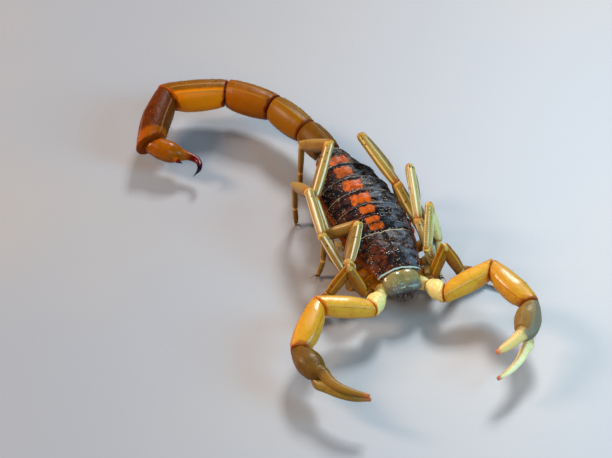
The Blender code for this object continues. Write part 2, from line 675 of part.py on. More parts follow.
def pincer_arm(side, word):
    """One pincer arm: three stretches, the hand with its fixed finger, and the movable finger."""
    place = millimetres((side * PALP_HIP[0], PALP_HIP[1], PALP_HIP[2]))
    frames = []
    for stretch in PALP_STRETCHES:
        frame = seat(place, PALP_BEARINGS[word][stretch])
        frames.append(frame)
        place = ahead(frame, PALP_LENGTHS[stretch] * MM)
    hip_bend = direction(PALP_BEARINGS[word]["trochanter"]).angle(palp_hip_direction(side))
    start = End(setback(PALP_HIP_END_RADIUS, hip_bend), UPRIGHT, PALP_HIP_END_RADIUS)
    for index, stretch in enumerate(PALP_STRETCHES[:-1]):
        end, next_start = mitre(frames[index], frames[index + 1])
        stations = stretch_stations(
            frames[index], PALP_LENGTHS[stretch] * MM, PALP_PROFILES[stretch], start, end)
        loft(f"arm_{word}_{stretch}", PALP_COLOURS[stretch], stations, PALP_SIDES, PALP_SQUARENESS)
        start = next_start
    points = finger_points(PALM + FIXED_FINGERS[word], side)
    radii = PALM_RADII + FIXED_FINGER_RADII
    spike(f"arm_{word}_hand", PALP_COLOURS["hand"], points, radii, PALP_SIDES, frames[-1], HAND_FLATNESS)
    points = finger_points(MOVABLE_FINGERS[word], side)
    spike(f"arm_{word}_finger", "tan", points, MOVABLE_FINGER_RADII, FINGER_SIDES, frames[-1])


def palp_hip_direction(side):
    """The direction in which a pincer arm's hip points."""
    run = Vector(PALP_HIP) - Vector(PALP_HIP_ROOT)
    return Vector((side * run.x, run.y, run.z))


def claws(place, heading):
    """The pair of curved claws at the end of a leg, spread to either side, just over the floor."""
    pair = []
    for side in (-1, 1):
        base = seat(place, (heading + side * CLAW_SPREAD, CLAW_PITCH))
        base = base @ Matrix.Translation((side * CLAW_APART, 0, 0))
        pair.append(spike("claw", "umber", CLAW_POINTS, CLAW_RADII, 6, base))
    return pair


def leg_frames(side, word, number):
    """The frame of each stretch of a leg, bent in the leg's own plane, with the foot on the floor."""
    lengths = dict(zip(LEG_STRETCHES, LEG_LENGTHS[number]))
    bearings = dict(zip(LEG_STRETCHES, LEG_BEARINGS[(word, number)]))
    across = direction(bearings["tibia"]).cross(direction(bearings["femur"]))
    place = millimetres((side * HIPS[number][0], HIPS[number][1], HIPS[number][2]))
    frames = {}
    for stretch, bearing in bearings.items():
        if stretch == "telotarsus":
            drop = min(place.z / (lengths[stretch] * MM), 1.0)
            rise = FLOOR_REACH * math.sqrt(1.0 - drop * drop) - FLOOR_SINK
            drop = min((place.z - rise) / (lengths[stretch] * MM), 1.0)
            bearing = (bearing, -math.degrees(math.asin(drop)))
        frames[stretch] = seat_across(place, bearing, across)
        place = ahead(frames[stretch], lengths[stretch] * MM)
    return frames


def leg(side, word, number):
    """One leg as three solids: upper leg with its root ring, middle, and shin with foot and claws."""
    girth = LEG_GIRTH[number]
    lengths = dict(zip(LEG_STRETCHES, LEG_LENGTHS[number]))
    frames = leg_frames(side, word, number)
    radii = {joint: radius * girth * MM for joint, radius in LEG_JOINT_RADII.items()}
    hip_run = Vector(HIPS[number]) - Vector(HIP_ROOTS[number])
    hip_bend = Vector((side * hip_run.x, hip_run.y, hip_run.z)).angle(frames["trochanter"].col[1].to_3d())

    def part(stretch, start=OPEN, end=OPEN):
        """The stations of one stretch."""
        length = lengths[stretch] * MM
        return stretch_stations(frames[stretch], length, LEG_PROFILES[stretch], start, end, girth * MM)

    def joint(first, second, radius):
        """Both ends of the joint between two stretches: flat, or round where it is folded sharply."""
        first, second = frames[first], frames[second]
        return fold(first, second, radius) if bend(first, second) > MITRE_MOST else mitre(first, second)

    hip = End(setback(radii["hip"], hip_bend), UPRIGHT, radii["hip"])
    root = End(0.0, UPRIGHT, radii["root"])
    knee = joint("femur", "patella", radii["knee"])
    shin = joint("patella", "tibia", radii["shin"])
    upper = loft(f"leg_{word}_{number}_upper", "straw", part("femur", root, knee[0]), LEG_SIDES)
    fuse(upper, [loft("root_ring", "straw", part("trochanter", hip, root), LEG_SIDES)])
    loft(f"leg_{word}_{number}_middle", "straw", part("patella", knee[1], shin[0]), LEG_SIDES)
    lower = part("tibia", shin[1]) + part("basitarsus") + part("telotarsus")
    body = loft(f"leg_{word}_{number}_lower", "straw", lower, LEG_SIDES)
    foot = ahead(frames["telotarsus"], lengths["telotarsus"] * MM)
    foot.z = CLAW_HEIGHT
    fuse(body, claws(foot, LEG_BEARINGS[(word, number)][-1]))
    cut_level(body)


def centre_on_origin():
    """Move the carrier so that the middle of the footprint is the origin."""
    bpy.context.view_layer.update()
    corners = [item.matrix_world @ Vector(corner) for item in bpy.data.objects
               if item.type == "MESH" and not item.hide_render for corner in item.bound_box]
    low = Vector(min(corner[axis] for corner in corners) for axis in range(3))
    high = Vector(max(corner[axis] for corner in corners) for axis in range(3))
    middle = (low + high) / 2
    carrier.location = (-middle.x, -middle.y, -low.z)
    bpy.context.view_layer.update()


def main():
    """Build the scorpion."""
    global carrier
    clear_scene()
    carrier = bpy.data.objects.new("scorpion", None)
    bpy.context.scene.collection.objects.link(carrier)
    middle_eyes(shield())
    limbs = {(word, 0): PALP_BEARINGS[word]["trochanter"] for word in ("left", "right")}
    limbs.update({key: bearings[0] for key, bearings in LEG_BEARINGS.items()})
    hips(limbs)
    back()
    tail()
    for side, word in ((1, "left"), (-1, "right")):
        jaw(side, word)
        comb(side, word)
        pincer_arm(side, word)
        for number in HIPS:
            leg(side, word, number)
    centre_on_origin()


main()
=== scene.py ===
"""A bark scorpion at rest, dressed: plates, soft joints, eyes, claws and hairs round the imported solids.

Sizes are millimetres in the animal's own frame: it faces -Y, its left side is +X, +Z is up, and the origin is
the middle of the head shield's front edge, on the floor. A finished mesh is moved once to the part's frame.
A bearing is (heading from straight back towards the animal's left, pitch above the level), in degrees.
"""

import json
import logging
import math
import random
from dataclasses import dataclass, field
from enum import Enum
from typing import Callable

import bmesh
import bpy
from mathutils import Matrix, Vector, noise

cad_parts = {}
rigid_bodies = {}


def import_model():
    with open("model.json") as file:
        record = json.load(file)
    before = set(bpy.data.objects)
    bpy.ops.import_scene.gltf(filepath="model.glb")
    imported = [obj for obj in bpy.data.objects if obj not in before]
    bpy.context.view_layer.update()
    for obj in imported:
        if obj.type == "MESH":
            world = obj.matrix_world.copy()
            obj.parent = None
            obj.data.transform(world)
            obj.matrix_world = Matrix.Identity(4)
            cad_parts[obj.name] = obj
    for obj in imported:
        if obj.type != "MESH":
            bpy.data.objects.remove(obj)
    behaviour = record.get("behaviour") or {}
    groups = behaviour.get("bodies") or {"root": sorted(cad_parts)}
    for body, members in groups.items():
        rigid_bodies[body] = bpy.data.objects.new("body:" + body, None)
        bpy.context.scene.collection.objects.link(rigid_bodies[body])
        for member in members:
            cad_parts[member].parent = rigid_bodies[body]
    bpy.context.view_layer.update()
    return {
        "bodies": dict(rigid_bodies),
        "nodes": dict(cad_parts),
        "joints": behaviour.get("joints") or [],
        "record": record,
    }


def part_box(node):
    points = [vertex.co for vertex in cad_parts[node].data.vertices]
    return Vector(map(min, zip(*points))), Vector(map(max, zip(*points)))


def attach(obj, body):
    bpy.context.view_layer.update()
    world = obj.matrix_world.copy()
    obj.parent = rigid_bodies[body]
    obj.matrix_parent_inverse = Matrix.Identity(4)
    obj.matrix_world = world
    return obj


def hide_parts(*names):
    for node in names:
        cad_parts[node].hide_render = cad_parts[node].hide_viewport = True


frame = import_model()
BAKE_MAP = "OFBake"
TUFT_PATCH = 0.003
MM = 0.001
ROOT_BODY = "root"
SEED = 11
UP = Vector((0, 0, 1))

Knots = tuple[tuple[float, float], ...]
Lean = tuple[float, float]

log = logging.getLogger("scorpion")


class Side(Enum):
    """The two sides of the animal."""

    LEFT = "left"
    RIGHT = "right"

    @property
    def sign(self) -> int:
        """+1 on the animal's left, -1 on its right."""
        return 1 if self is Side.LEFT else -1


class Slot(Enum):
    """The record's material slots."""

    DARK_PLATE = "dark_plate"
    LEG_ROOT = "leg_root"
    EYE = "eye"
    JAW = "jaw"
    COMB = "comb"
    TAIL_PLATE = "tail_plate"
    TAIL_DARK = "tail_dark"
    STING = "sting"
    ARM = "arm"
    PINCER = "pincer"
    LEG = "leg"


# Frames, curves and paths


def seat(place: Vector, bearing: tuple[float, float], roll: float = 0.0) -> Matrix:
    """A frame whose +Y points along a bearing.

    Args:
        place: Its origin.
        bearing: Heading and pitch in degrees.
        roll: Turn about its own +Y in degrees.

    Returns:
        The frame as a matrix.
    """
    heading, pitch = (math.radians(angle) for angle in bearing)
    turn = Matrix.Rotation(-heading, 4, "Z") @ Matrix.Rotation(pitch, 4, "X")
    return Matrix.Translation(place) @ turn @ Matrix.Rotation(math.radians(roll), 4, "Y")


def seat_across(place: Vector, along: Vector, across: Vector) -> Matrix:
    """A frame whose +Y points along one vector and whose +X lies nearest to another.

    Args:
        place: Its origin.
        along: The direction of +Y.
        across: What +X lies nearest to.

    Returns:
        The frame as a matrix.
    """
    along = along.normalized()
    side = (across - along * across.dot(along)).normalized()
    turn = Matrix((side, along, side.cross(along))).transposed().to_4x4()
    return Matrix.Translation(place) @ turn


def direction(bearing: tuple[float, float]) -> Vector:
    """The unit vector along a bearing."""
    return seat(Vector(), bearing).col[1].to_3d()


def ahead(base: Matrix, distance: float) -> Vector:
    """The point at a distance along a frame's +Y."""
    return base @ Vector((0.0, distance, 0.0))


def signed_power(value: float, power: float) -> float:
    """A value raised to a power, with its sign kept."""
    return math.copysign(abs(value) ** power, value)


def smooth(low: float, high: float, value: float) -> float:
    """0 below low, 1 above high and an even ease between them."""
    share = min(max((value - low) / (high - low), 0.0), 1.0)
    return share * share * (3.0 - 2.0 * share)


def hump(value: float, middle: float, width: float) -> float:
    """A bell of height 1 at a middle."""
    return math.exp(-((value - middle) / width) ** 2)


@dataclass(frozen=True)
class Curve:
    """A smooth profile through (share, value) knots, flat beyond the first and last."""

    knots: Knots

    def at(self, share: float) -> float:
        """The value at a share of the way.

        Args:
            share: From 0 to 1.

        Returns:
            The value, by a cubic that passes through the knots.
        """
        knots = self.knots
        if share <= knots[0][0]:
            return knots[0][1]
        for index in range(len(knots) - 1):
            (x0, y0), (x1, y1) = knots[index], knots[index + 1]
            if share <= x1:
                before = self.slope(index)
                after = self.slope(index + 1)
                span = x1 - x0
                t = (share - x0) / span
                return (y0 * (1 + 2 * t) * (1 - t) ** 2 + before * span * t * (1 - t) ** 2
                        + y1 * t * t * (3 - 2 * t) - after * span * t * t * (1 - t))
        return knots[-1][1]

    def slope(self, index: int) -> float:
        """The slope at a knot, level at the ends and at each peak or dip."""
        if index in (0, len(self.knots) - 1):
            return 0.0
        (x0, y0), (x1, y1), (x2, y2) = self.knots[index - 1:index + 2]
        before = (y1 - y0) / (x1 - x0)
        after = (y2 - y1) / (x2 - x1)
        return 0.0 if before * after <= 0 else 2 * before * after / (before + after)


def even(value: float) -> Curve:
    """A profile of one value all along."""
    return Curve(((0.0, value),))


@dataclass
class Path:
    """A smooth line through points, with a frame at each share of its length.

    Attributes:
        points: What it passes through.
        up: What each frame's +Z lies nearest to.
    """

    points: list[Vector]
    up: Vector
    marks: list[float] = field(default_factory=list)
    length: float = 0.0

    def __post_init__(self) -> None:
        """Measure the way to each point."""
        self.marks = [0.0]
        for before, after in zip(self.points, self.points[1:]):
            self.marks.append(self.marks[-1] + (after - before).length)
        self.length = self.marks[-1]

    def point(self, share: float) -> Vector:
        """The point at a share of the length."""
        target = min(max(share, 0.0), 1.0) * self.length
        last = len(self.points) - 2
        index = next((i for i in range(last + 1) if target <= self.marks[i + 1]), last)
        t = (target - self.marks[index]) / (self.marks[index + 1] - self.marks[index])
        if last == 0:
            return self.points[0].lerp(self.points[1], t)
        a, b = self.points[index], self.points[index + 1]
        span = self.marks[index + 1] - self.marks[index]
        start = self.tangent(index) * span
        end = self.tangent(index + 1) * span
        return (a * (1 + 2 * t) * (1 - t) ** 2 + start * t * (1 - t) ** 2
                + b * t * t * (3 - 2 * t) - end * t * t * (1 - t))

    def tangent(self, index: int) -> Vector:
        """The unit direction of the line at one of its points."""
        before = self.points[max(index - 1, 0)]
        after = self.points[min(index + 1, len(self.points) - 1)]
        return (after - before).normalized()

    def frame(self, share: float) -> Matrix:
        """The frame at a share of the length, +Y along the line."""
        step = 0.004
        low, high = max(share - step, 0.0), min(share + step, 1.0)
        along = (self.point(high) - self.point(low)).normalized()
        across = along.cross(self.up)
        return seat_across(self.point(share), along, across)


def straight(base: Matrix, start: float, end: float) -> Path:
    """The path along a frame's +Y from one distance to another."""
    return Path([ahead(base, start), ahead(base, end)], base.col[2].to_3d())


# Skins


@dataclass(frozen=True)
class Keel:
    """A raised ridge along a skin.

    Attributes:
        angle: Where it runs, in degrees from +X towards +Z.
        rise: Its height.
        spread: Its half width in degrees.
        pitch: The distance from tooth to tooth, or 0 for a plain ridge.
        start: The share of the length where it starts.
        end: The share where it ends.
    """

    angle: float
    rise: float = 0.08
    spread: float = 5.0
    pitch: float = 0.16
    start: float = 0.05
    end: float = 0.97

    def lift(self, degrees: float, share: float, distance: float) -> float:
        """How far the ridge stands out, from 0 to 1, at an angle, share and distance."""
        apart = abs((degrees - self.angle + 180.0) % 360.0 - 180.0)
        if apart > self.spread * 3:
            return 0.0
        tooth = 0.3 + 0.7 * abs(math.sin(math.pi * distance / self.pitch)) if self.pitch else 1.0
        risen = smooth(self.start - 0.04, self.start + 0.04, share)
        sunk = smooth(self.end - 0.04, self.end + 0.04, share)
        run = risen * (1 - sunk)
        return hump(apart, 0.0, self.spread) * tooth * run


@dataclass(frozen=True)
class Grain:
    """Raised granules over part of a skin.

    Attributes:
        size: The distance between granules.
        rise: Their height.
        zone: How strongly they show at a share and the sine of the angle, from 0 to 1.
    """

    size: float
    rise: float
    zone: Callable[[float, float], float]

    def lift(self, place: Vector, share: float, sine: float) -> float:
        """How far the granules stand out, from 0 to 1, at a place."""
        mask = self.zone(share, sine)
        if mask <= 0.0:
            return 0.0
        distance = noise.voronoi(place / self.size)[0][0]
        return mask * (1.0 - smooth(0.12, 0.5, distance))


def everywhere(share: float, sine: float) -> float:
    """Granules all over."""
    return 1.0


def on_top(share: float, sine: float) -> float:
    """Granules on the upper side."""
    return smooth(0.0, 0.35, sine)


def bulb_grain(share: float, sine: float) -> float:
    """Granules under the sting's bulb."""
    return (1 - smooth(-0.2, 0.3, sine)) * (1 - smooth(0.3, 0.42, share))


@dataclass
class Tube:
    """A closed, keeled and granulated skin round a path.

    Attributes:
        path: Its middle line.
        width: Half width along it.
        depth: Half depth along it.
        sides: Corners of each ring.
        rings: Rings between its two rims.
        rim: Radius of the rounded rim at each end.
        square: 1 is an ellipse, less is squarer.
        keels: Its ridges.
        grain: Its granules.
        start_mitre: Lean of the first end, as a slope across and above.
        end_mitre: Lean of the last end.
    """

    path: Path
    width: Curve
    depth: Curve
    sides: int = 32
    rings: int = 20
    rim: float = 0.2
    square: float = 1.0
    keels: tuple[Keel, ...] = ()
    grain: Grain | None = None
    start_mitre: Lean = (0.0, 0.0)
    end_mitre: Lean = (0.0, 0.0)

    def stations(self) -> list[tuple[float, float]]:
        """(distance along the path, inset) of each ring."""
        length = self.path.length
        rim = min(self.rim, length * 0.3)
        quarter = [math.pi / 2 * step / 4 for step in range(4)]
        start = [(rim * (1 - math.cos(angle)), rim * (1 - math.sin(angle))) for angle in quarter]
        start[0] = (0.0, rim * 0.93)
        end = [(length - distance, inset) for distance, inset in reversed(start)]
        inner = length - 2 * rim
        return start + [(rim + inner * step / (self.rings - 1), 0.0) for step in range(self.rings)] + end

    def section(self, share: float, angle: float) -> tuple[float, float]:
        """Across and above, of the bare outline at a share and angle."""
        return (self.width.at(share) * signed_power(math.cos(angle), self.square),
                self.depth.at(share) * signed_power(math.sin(angle), self.square))

    def sculpt(self, share: float, distance: float, x: float, z: float) -> tuple[float, float, float]:
        """What to add to a point's across, along and above."""
        return 0.0, 0.0, 0.0

    def lean(self, distance: float, x: float, z: float) -> float:
        """How far a point moves along the path so that both ends meet their neighbours."""
        reach = max(self.width.at(0.5), self.depth.at(0.5)) * 1.6
        first = 1 - smooth(0.0, reach, distance)
        last = 1 - smooth(0.0, reach, self.path.length - distance)
        return (last * (self.end_mitre[0] * x + self.end_mitre[1] * z)
                - first * (self.start_mitre[0] * x + self.start_mitre[1] * z))

    def build(self, mesh: bmesh.types.BMesh) -> None:
        """Add this skin to a mesh.

        Args:
            mesh: Has the float vector layer lay and the float layer relief on its vertices.
        """
        stations = self.stations()
        skin = new_mesh()
        bmesh.ops.create_cone(
            skin, cap_ends=True, cap_tris=True, segments=self.sides, radius1=1.0, radius2=1.0, depth=1.0)
        lengthwise = [edge for edge in skin.edges if abs(edge.verts[0].co.z - edge.verts[1].co.z) > 0.5]
        bmesh.ops.subdivide_edges(skin, edges=lengthwise, cuts=len(stations) - 2, use_grid_fill=True)
        lay = skin.verts.layers.float_vector["lay"]
        relief = skin.verts.layers.float["relief"]
        length = self.path.length
        frames = [self.path.frame(distance / length) for distance, inset in stations]
        for vert in skin.verts:
            row = round((vert.co.z + 0.5) * (len(stations) - 1))
            distance, inset = stations[row]
            share = distance / length
            middle = math.hypot(vert.co.x, vert.co.y) < 0.5
            angle = math.atan2(-vert.co.y, vert.co.x)
            cosine, sine = (0.0, 0.0) if middle else (math.cos(angle), math.sin(angle))
            x, z = (0.0, 0.0) if middle else self.section(share, angle)
            size = math.hypot(x, z)
            shrink = max(1.0 - inset / size, 0.02) if size > 1e-6 else 0.0
            x, z = x * shrink, z * shrink
            raised = 0.0
            if not middle and inset < self.rim * 0.5:
                degrees = math.degrees(angle)
                lifts = [(keel.lift(degrees, share, distance), keel.rise) for keel in self.keels]
                rise = sum(lift * height for lift, height in lifts)
                raised = max((lift for lift, height in lifts), default=0.0)
                if self.grain:
                    grains = self.grain.lift(Vector((x, distance, z)), share, sine)
                    rise += grains * self.grain.rise
                    raised = max(raised, grains * 0.8)
                x += rise * cosine
                z += rise * sine
            more = self.sculpt(share, distance, x, z)
            along = more[1] + self.lean(distance, x, z)
            vert.co = frames[row] @ Vector((x + more[0], along, z + more[2]))
            vert[lay] = Vector((cosine, share, sine))
            vert[relief] = raised
        join(mesh, skin)


@dataclass
class FoldedTube(Tube):
    """A skin with soft folds across it, as on the first stretch of an arm."""

    folds: float = 3.5
    fold_depth: float = 0.05

    def sculpt(self, share: float, distance: float, x: float, z: float) -> tuple[float, float, float]:
        """Sink the folds, which run a little slantwise."""
        turn = 0.5 * math.sin(math.atan2(z, x))
        wave = -self.fold_depth * abs(math.cos(math.pi * (share * self.folds + turn))) ** 3
        return x * wave, 0.0, z * wave


def join(mesh: bmesh.types.BMesh, other: bmesh.types.BMesh) -> None:
    """Add a mesh to another, and free it."""
    data = bpy.data.meshes.new("part")
    other.to_mesh(data)
    other.free()
    mesh.from_mesh(data)
    bpy.data.meshes.remove(data)


def new_mesh() -> bmesh.types.BMesh:
    """An empty mesh with the layers that the finishes read."""
    mesh = bmesh.new()
    mesh.verts.layers.float_vector.new("lay")
    mesh.verts.layers.float.new("relief")
    return mesh


def bead(mesh: bmesh.types.BMesh, place: Matrix, size: Vector, sides: int = 16) -> None:
    """Add a rounded bead, such as an eye or the knuckle of a joint.

    Args:
        mesh: Where it goes.
        place: Its frame.
        size: Its three half lengths.
        sides: Corners round it.
    """
    made = bmesh.ops.create_uvsphere(
        mesh, u_segments=sides, v_segments=max(sides // 2, 4), radius=1.0)["verts"]
    lay = mesh.verts.layers.float_vector["lay"]
    for vert in made:
        vert[lay] = vert.co.copy()
        vert.co = place @ Vector((vert.co.x * size.x, vert.co.y * size.y, vert.co.z * size.z))


class Body:
    """What carries the pieces: it turns meshes into objects in the part's frame."""

    def __init__(self) -> None:
        """Find the animal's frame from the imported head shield."""
        low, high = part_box("carapace")
        place = Vector(((low.x + high.x) / 2, low.y, 0.0))
        self.frame = Matrix.Translation(place) @ Matrix.Scale(MM, 4)
        self.triangles = 0

    def dress(self, mesh: bmesh.types.BMesh, name: str, finish: bpy.types.Material,
              replaced: tuple[str, ...] = ()) -> bpy.types.Object:
        """Finish a mesh as a piece of the animal.

        Args:
            mesh: In millimetres in the animal's frame. It is freed.
            name: The piece's name.
            finish: Its material.
            replaced: The solids that it stands for.

        Returns:
            The piece.
        """
        bmesh.ops.recalc_face_normals(mesh, faces=mesh.faces)
        bmesh.ops.transform(mesh, matrix=self.frame, verts=mesh.verts)
        data = bpy.data.meshes.new(name)
        mesh.to_mesh(data)
        mesh.free()
        data.shade_smooth()
        data.materials.append(finish)
        piece = bpy.data.objects.new(name, data)
        bpy.context.scene.collection.objects.link(piece)
        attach(piece, ROOT_BODY)
        if replaced:
            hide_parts(*replaced)
        count = sum(len(face.vertices) - 2 for face in data.polygons)
        self.triangles += count
        log.info("%s: %d triangles", name, count)
        return piece


@dataclass
class Coat:
    """Short stiff hairs, each a thin three-sided spine rooted in a skin.

    Attributes:
        dense: Hairs for each square millimetre.
        longest: Length of the longest, in millimetres.
        thick: Radius at the root, in millimetres.
        lie: How far they lean along the skin, 0 is upright.
        cells: Skins in a row of the map.
        taper: Radius at the tip, as a share of the root's.
        mesh: The hairs so far, in millimetres in the animal's frame.
        skins: How many skins have hairs so far.
    """

    dense: float = 0.55
    longest: float = 0.62
    thick: float = 0.017
    lie: float = 0.9
    cells: int = 6
    taper: float = 0.2
    mesh: bmesh.types.BMesh = field(default_factory=new_mesh)
    skins: int = 0

    def __post_init__(self) -> None:
        """Give the mesh its map."""
        self.mesh.loops.layers.uv.new(BAKE_MAP)

    def grow(self, skin: Tube) -> None:
        """Root hairs all over a skin, each with its own patch of the map.

        Args:
            skin: In its own cell of the map, angle across and share up.
        """
        cell = Vector((self.skins % self.cells, self.skins // self.cells)) / self.cells
        self.skins += 1
        length = skin.path.length
        area = length * math.pi * (skin.width.at(0.5) + skin.depth.at(0.5))
        for _ in range(round(area * self.dense)):
            share, angle = random.uniform(0.05, 0.95), random.uniform(-math.pi, math.pi)
            x, z = skin.section(share, angle)
            frame = skin.path.frame(share)
            root = frame @ Vector((x, skin.lean(share * length, x, z), z))
            out = Vector((x, random.uniform(0.4, 1.0) * self.lie * math.hypot(x, z), z)).normalized()
            heading = (frame.to_3x3() @ out).normalized()
            long = self.longest * random.uniform(0.45, 1.0)
            spot = cell + Vector((0.03 + 0.94 * (angle / math.tau + 0.5), 0.03 + 0.94 * share)) / self.cells
            if min(root.z, (root + heading * long).z) > self.thick * 2:
                self.spine(root - heading * 0.04, heading, long, spot)

    def spine(self, root: Vector, heading: Vector, long: float, spot: Vector) -> None:
        """Add one hair."""
        turn = heading.to_track_quat("Z", "Y").to_matrix().to_4x4()
        place = Matrix.Translation(root + heading * long / 2) @ turn
        made = bmesh.ops.create_cone(
            self.mesh, cap_ends=True, segments=3, radius1=self.thick, radius2=self.thick * self.taper,
            depth=long)["verts"]
        lay = self.mesh.verts.layers.float_vector["lay"]
        bake = self.mesh.loops.layers.uv[BAKE_MAP]
        for vert in made:
            vert[lay] = Vector((0.0, vert.co.z / long + 0.5, 0.0))
            for loop in vert.link_loops:
                loop[bake].uv = spot + vert.co.xy * (TUFT_PATCH / 2 / self.thick)
            vert.co = place @ vert.co

    def finish(self, body: Body, name: str, finish: bpy.types.Material, slot: Slot) -> None:
        """Make the coat a piece of the animal."""
        body.dress(self.mesh, name, finish)


# Finishes


def srgb(red: float, green: float, blue: float) -> tuple[float, float, float, float]:
    """A colour as seen, 0 to 255 each, as the shader's linear values."""
    return tuple((value / 255.0) ** 2.2 for value in (red, green, blue)) + (1.0,)


class Shader:
    """A material's node tree, made a node at a time."""

    def __init__(self, name: str) -> None:
        """Start a Principled material of that name."""
        self.material = bpy.data.materials.new(name)
        self.material.use_nodes = True
        self.nodes = self.material.node_tree.nodes
        self.links = self.material.node_tree.links
        self.surface = self.nodes["Principled BSDF"]
        self.coordinates = self.nodes.new("ShaderNodeTexCoord").outputs["Object"]

    def put(self, socket: bpy.types.NodeSocket, value: object) -> None:
        """Link a socket to another, or set its value."""
        if isinstance(value, bpy.types.NodeSocket):
            self.links.new(value, socket)
        else:
            socket.default_value = value

    def attribute(self, name: str) -> bpy.types.Node:
        """The node that reads a vertex layer."""
        node = self.nodes.new("ShaderNodeAttribute")
        node.attribute_name = name
        return node

    def lay(self) -> tuple[bpy.types.NodeSocket, ...]:
        """Across, along and above, as the skin laid them."""
        node = self.nodes.new("ShaderNodeSeparateXYZ")
        self.links.new(self.attribute("lay").outputs["Vector"], node.inputs[0])
        return tuple(node.outputs)

    def maths(self, operation: str, first: object, second: object = 0.0) -> bpy.types.NodeSocket:
        """The result of a Math node."""
        node = self.nodes.new("ShaderNodeMath")
        node.operation = operation
        self.put(node.inputs[0], first)
        self.put(node.inputs[1], second)
        return node.outputs[0]

    def times(self, *factors: object) -> bpy.types.NodeSocket:
        """The product of several factors."""
        product = factors[0]
        for factor in factors[1:]:
            product = self.maths("MULTIPLY", product, factor)
        return product

    def step(self, value: bpy.types.NodeSocket, low: float, high: float) -> bpy.types.NodeSocket:
        """0 below low and 1 above high, eased. Low may lie above high."""
        node = self.nodes.new("ShaderNodeMapRange")
        node.interpolation_type = "SMOOTHSTEP"
        self.put(node.inputs["Value"], value)
        flip = low > high
        node.inputs["From Min"].default_value = min(low, high)
        node.inputs["From Max"].default_value = max(low, high)
        node.inputs["To Min"].default_value = 1.0 if flip else 0.0
        node.inputs["To Max"].default_value = 0.0 if flip else 1.0
        return node.outputs[0]

    def mix(self, factor: object, first: object, second: object) -> bpy.types.NodeSocket:
        """One colour turned into another by a factor."""
        node = self.nodes.new("ShaderNodeMix")
        node.data_type = "RGBA"
        self.put(node.inputs[0], factor)
        self.put(node.inputs[6], first)
        self.put(node.inputs[7], second)
        return node.outputs[2]

    def noise(self, size: float, detail: float = 3.0, stretch: float = 0.0) -> bpy.types.NodeSocket:
        """Noise whose features are about a size across, in millimetres."""
        node = self.nodes.new("ShaderNodeTexNoise")
        node.inputs["Scale"].default_value = 1.0 / (size * MM)
        node.inputs["Detail"].default_value = detail
        node.inputs["Distortion"].default_value = stretch
        self.links.new(self.coordinates, node.inputs["Vector"])
        return node.outputs[0]

    def cells(self, size: float) -> bpy.types.NodeSocket:
        """The distance to the middle of the nearest cell of a size, in millimetres."""
        node = self.nodes.new("ShaderNodeTexVoronoi")
        node.inputs["Scale"].default_value = 1.0 / (size * MM)
        self.links.new(self.coordinates, node.inputs["Vector"])
        return node.outputs["Distance"]

    def bump(self, height: bpy.types.NodeSocket, strength: float, depth: float,
             under: bpy.types.NodeSocket | None = None) -> bpy.types.NodeSocket:
        """A normal from a height, depth in millimetres."""
        node = self.nodes.new("ShaderNodeBump")
        node.inputs["Strength"].default_value = strength
        node.inputs["Distance"].default_value = depth * MM
        self.links.new(height, node.inputs["Height"])
        if under:
            self.links.new(under, node.inputs["Normal"])
        return node.outputs[0]

    def close(self, colour: object, roughness: object, normal: object = None,
              **fixed: float) -> bpy.types.Material:
        """Link the surface's colour, roughness and normal, set its fixed values and return the material."""
        self.put(self.surface.inputs["Base Color"], colour)
        self.put(self.surface.inputs["Roughness"], roughness)
        if normal is not None:
            self.put(self.surface.inputs["Normal"], normal)
        for name, value in fixed.items():
            self.surface.inputs[name.replace("_", " ").title().replace("Ior", "IOR")].default_value = value
        return self.material


@dataclass(frozen=True)
class Zone:
    """A part of a skin that has a colour of its own.

    Attributes:
        axis: 0 across, 1 along, 2 above, as the skin laid them.
        start: The value where the colour starts to show.
        full: The value where it shows in full.
        colour: 0 to 255 each.
        share: How much of it shows there.
    """

    axis: int
    start: float
    full: float
    colour: tuple[int, int, int]
    share: float = 1.0


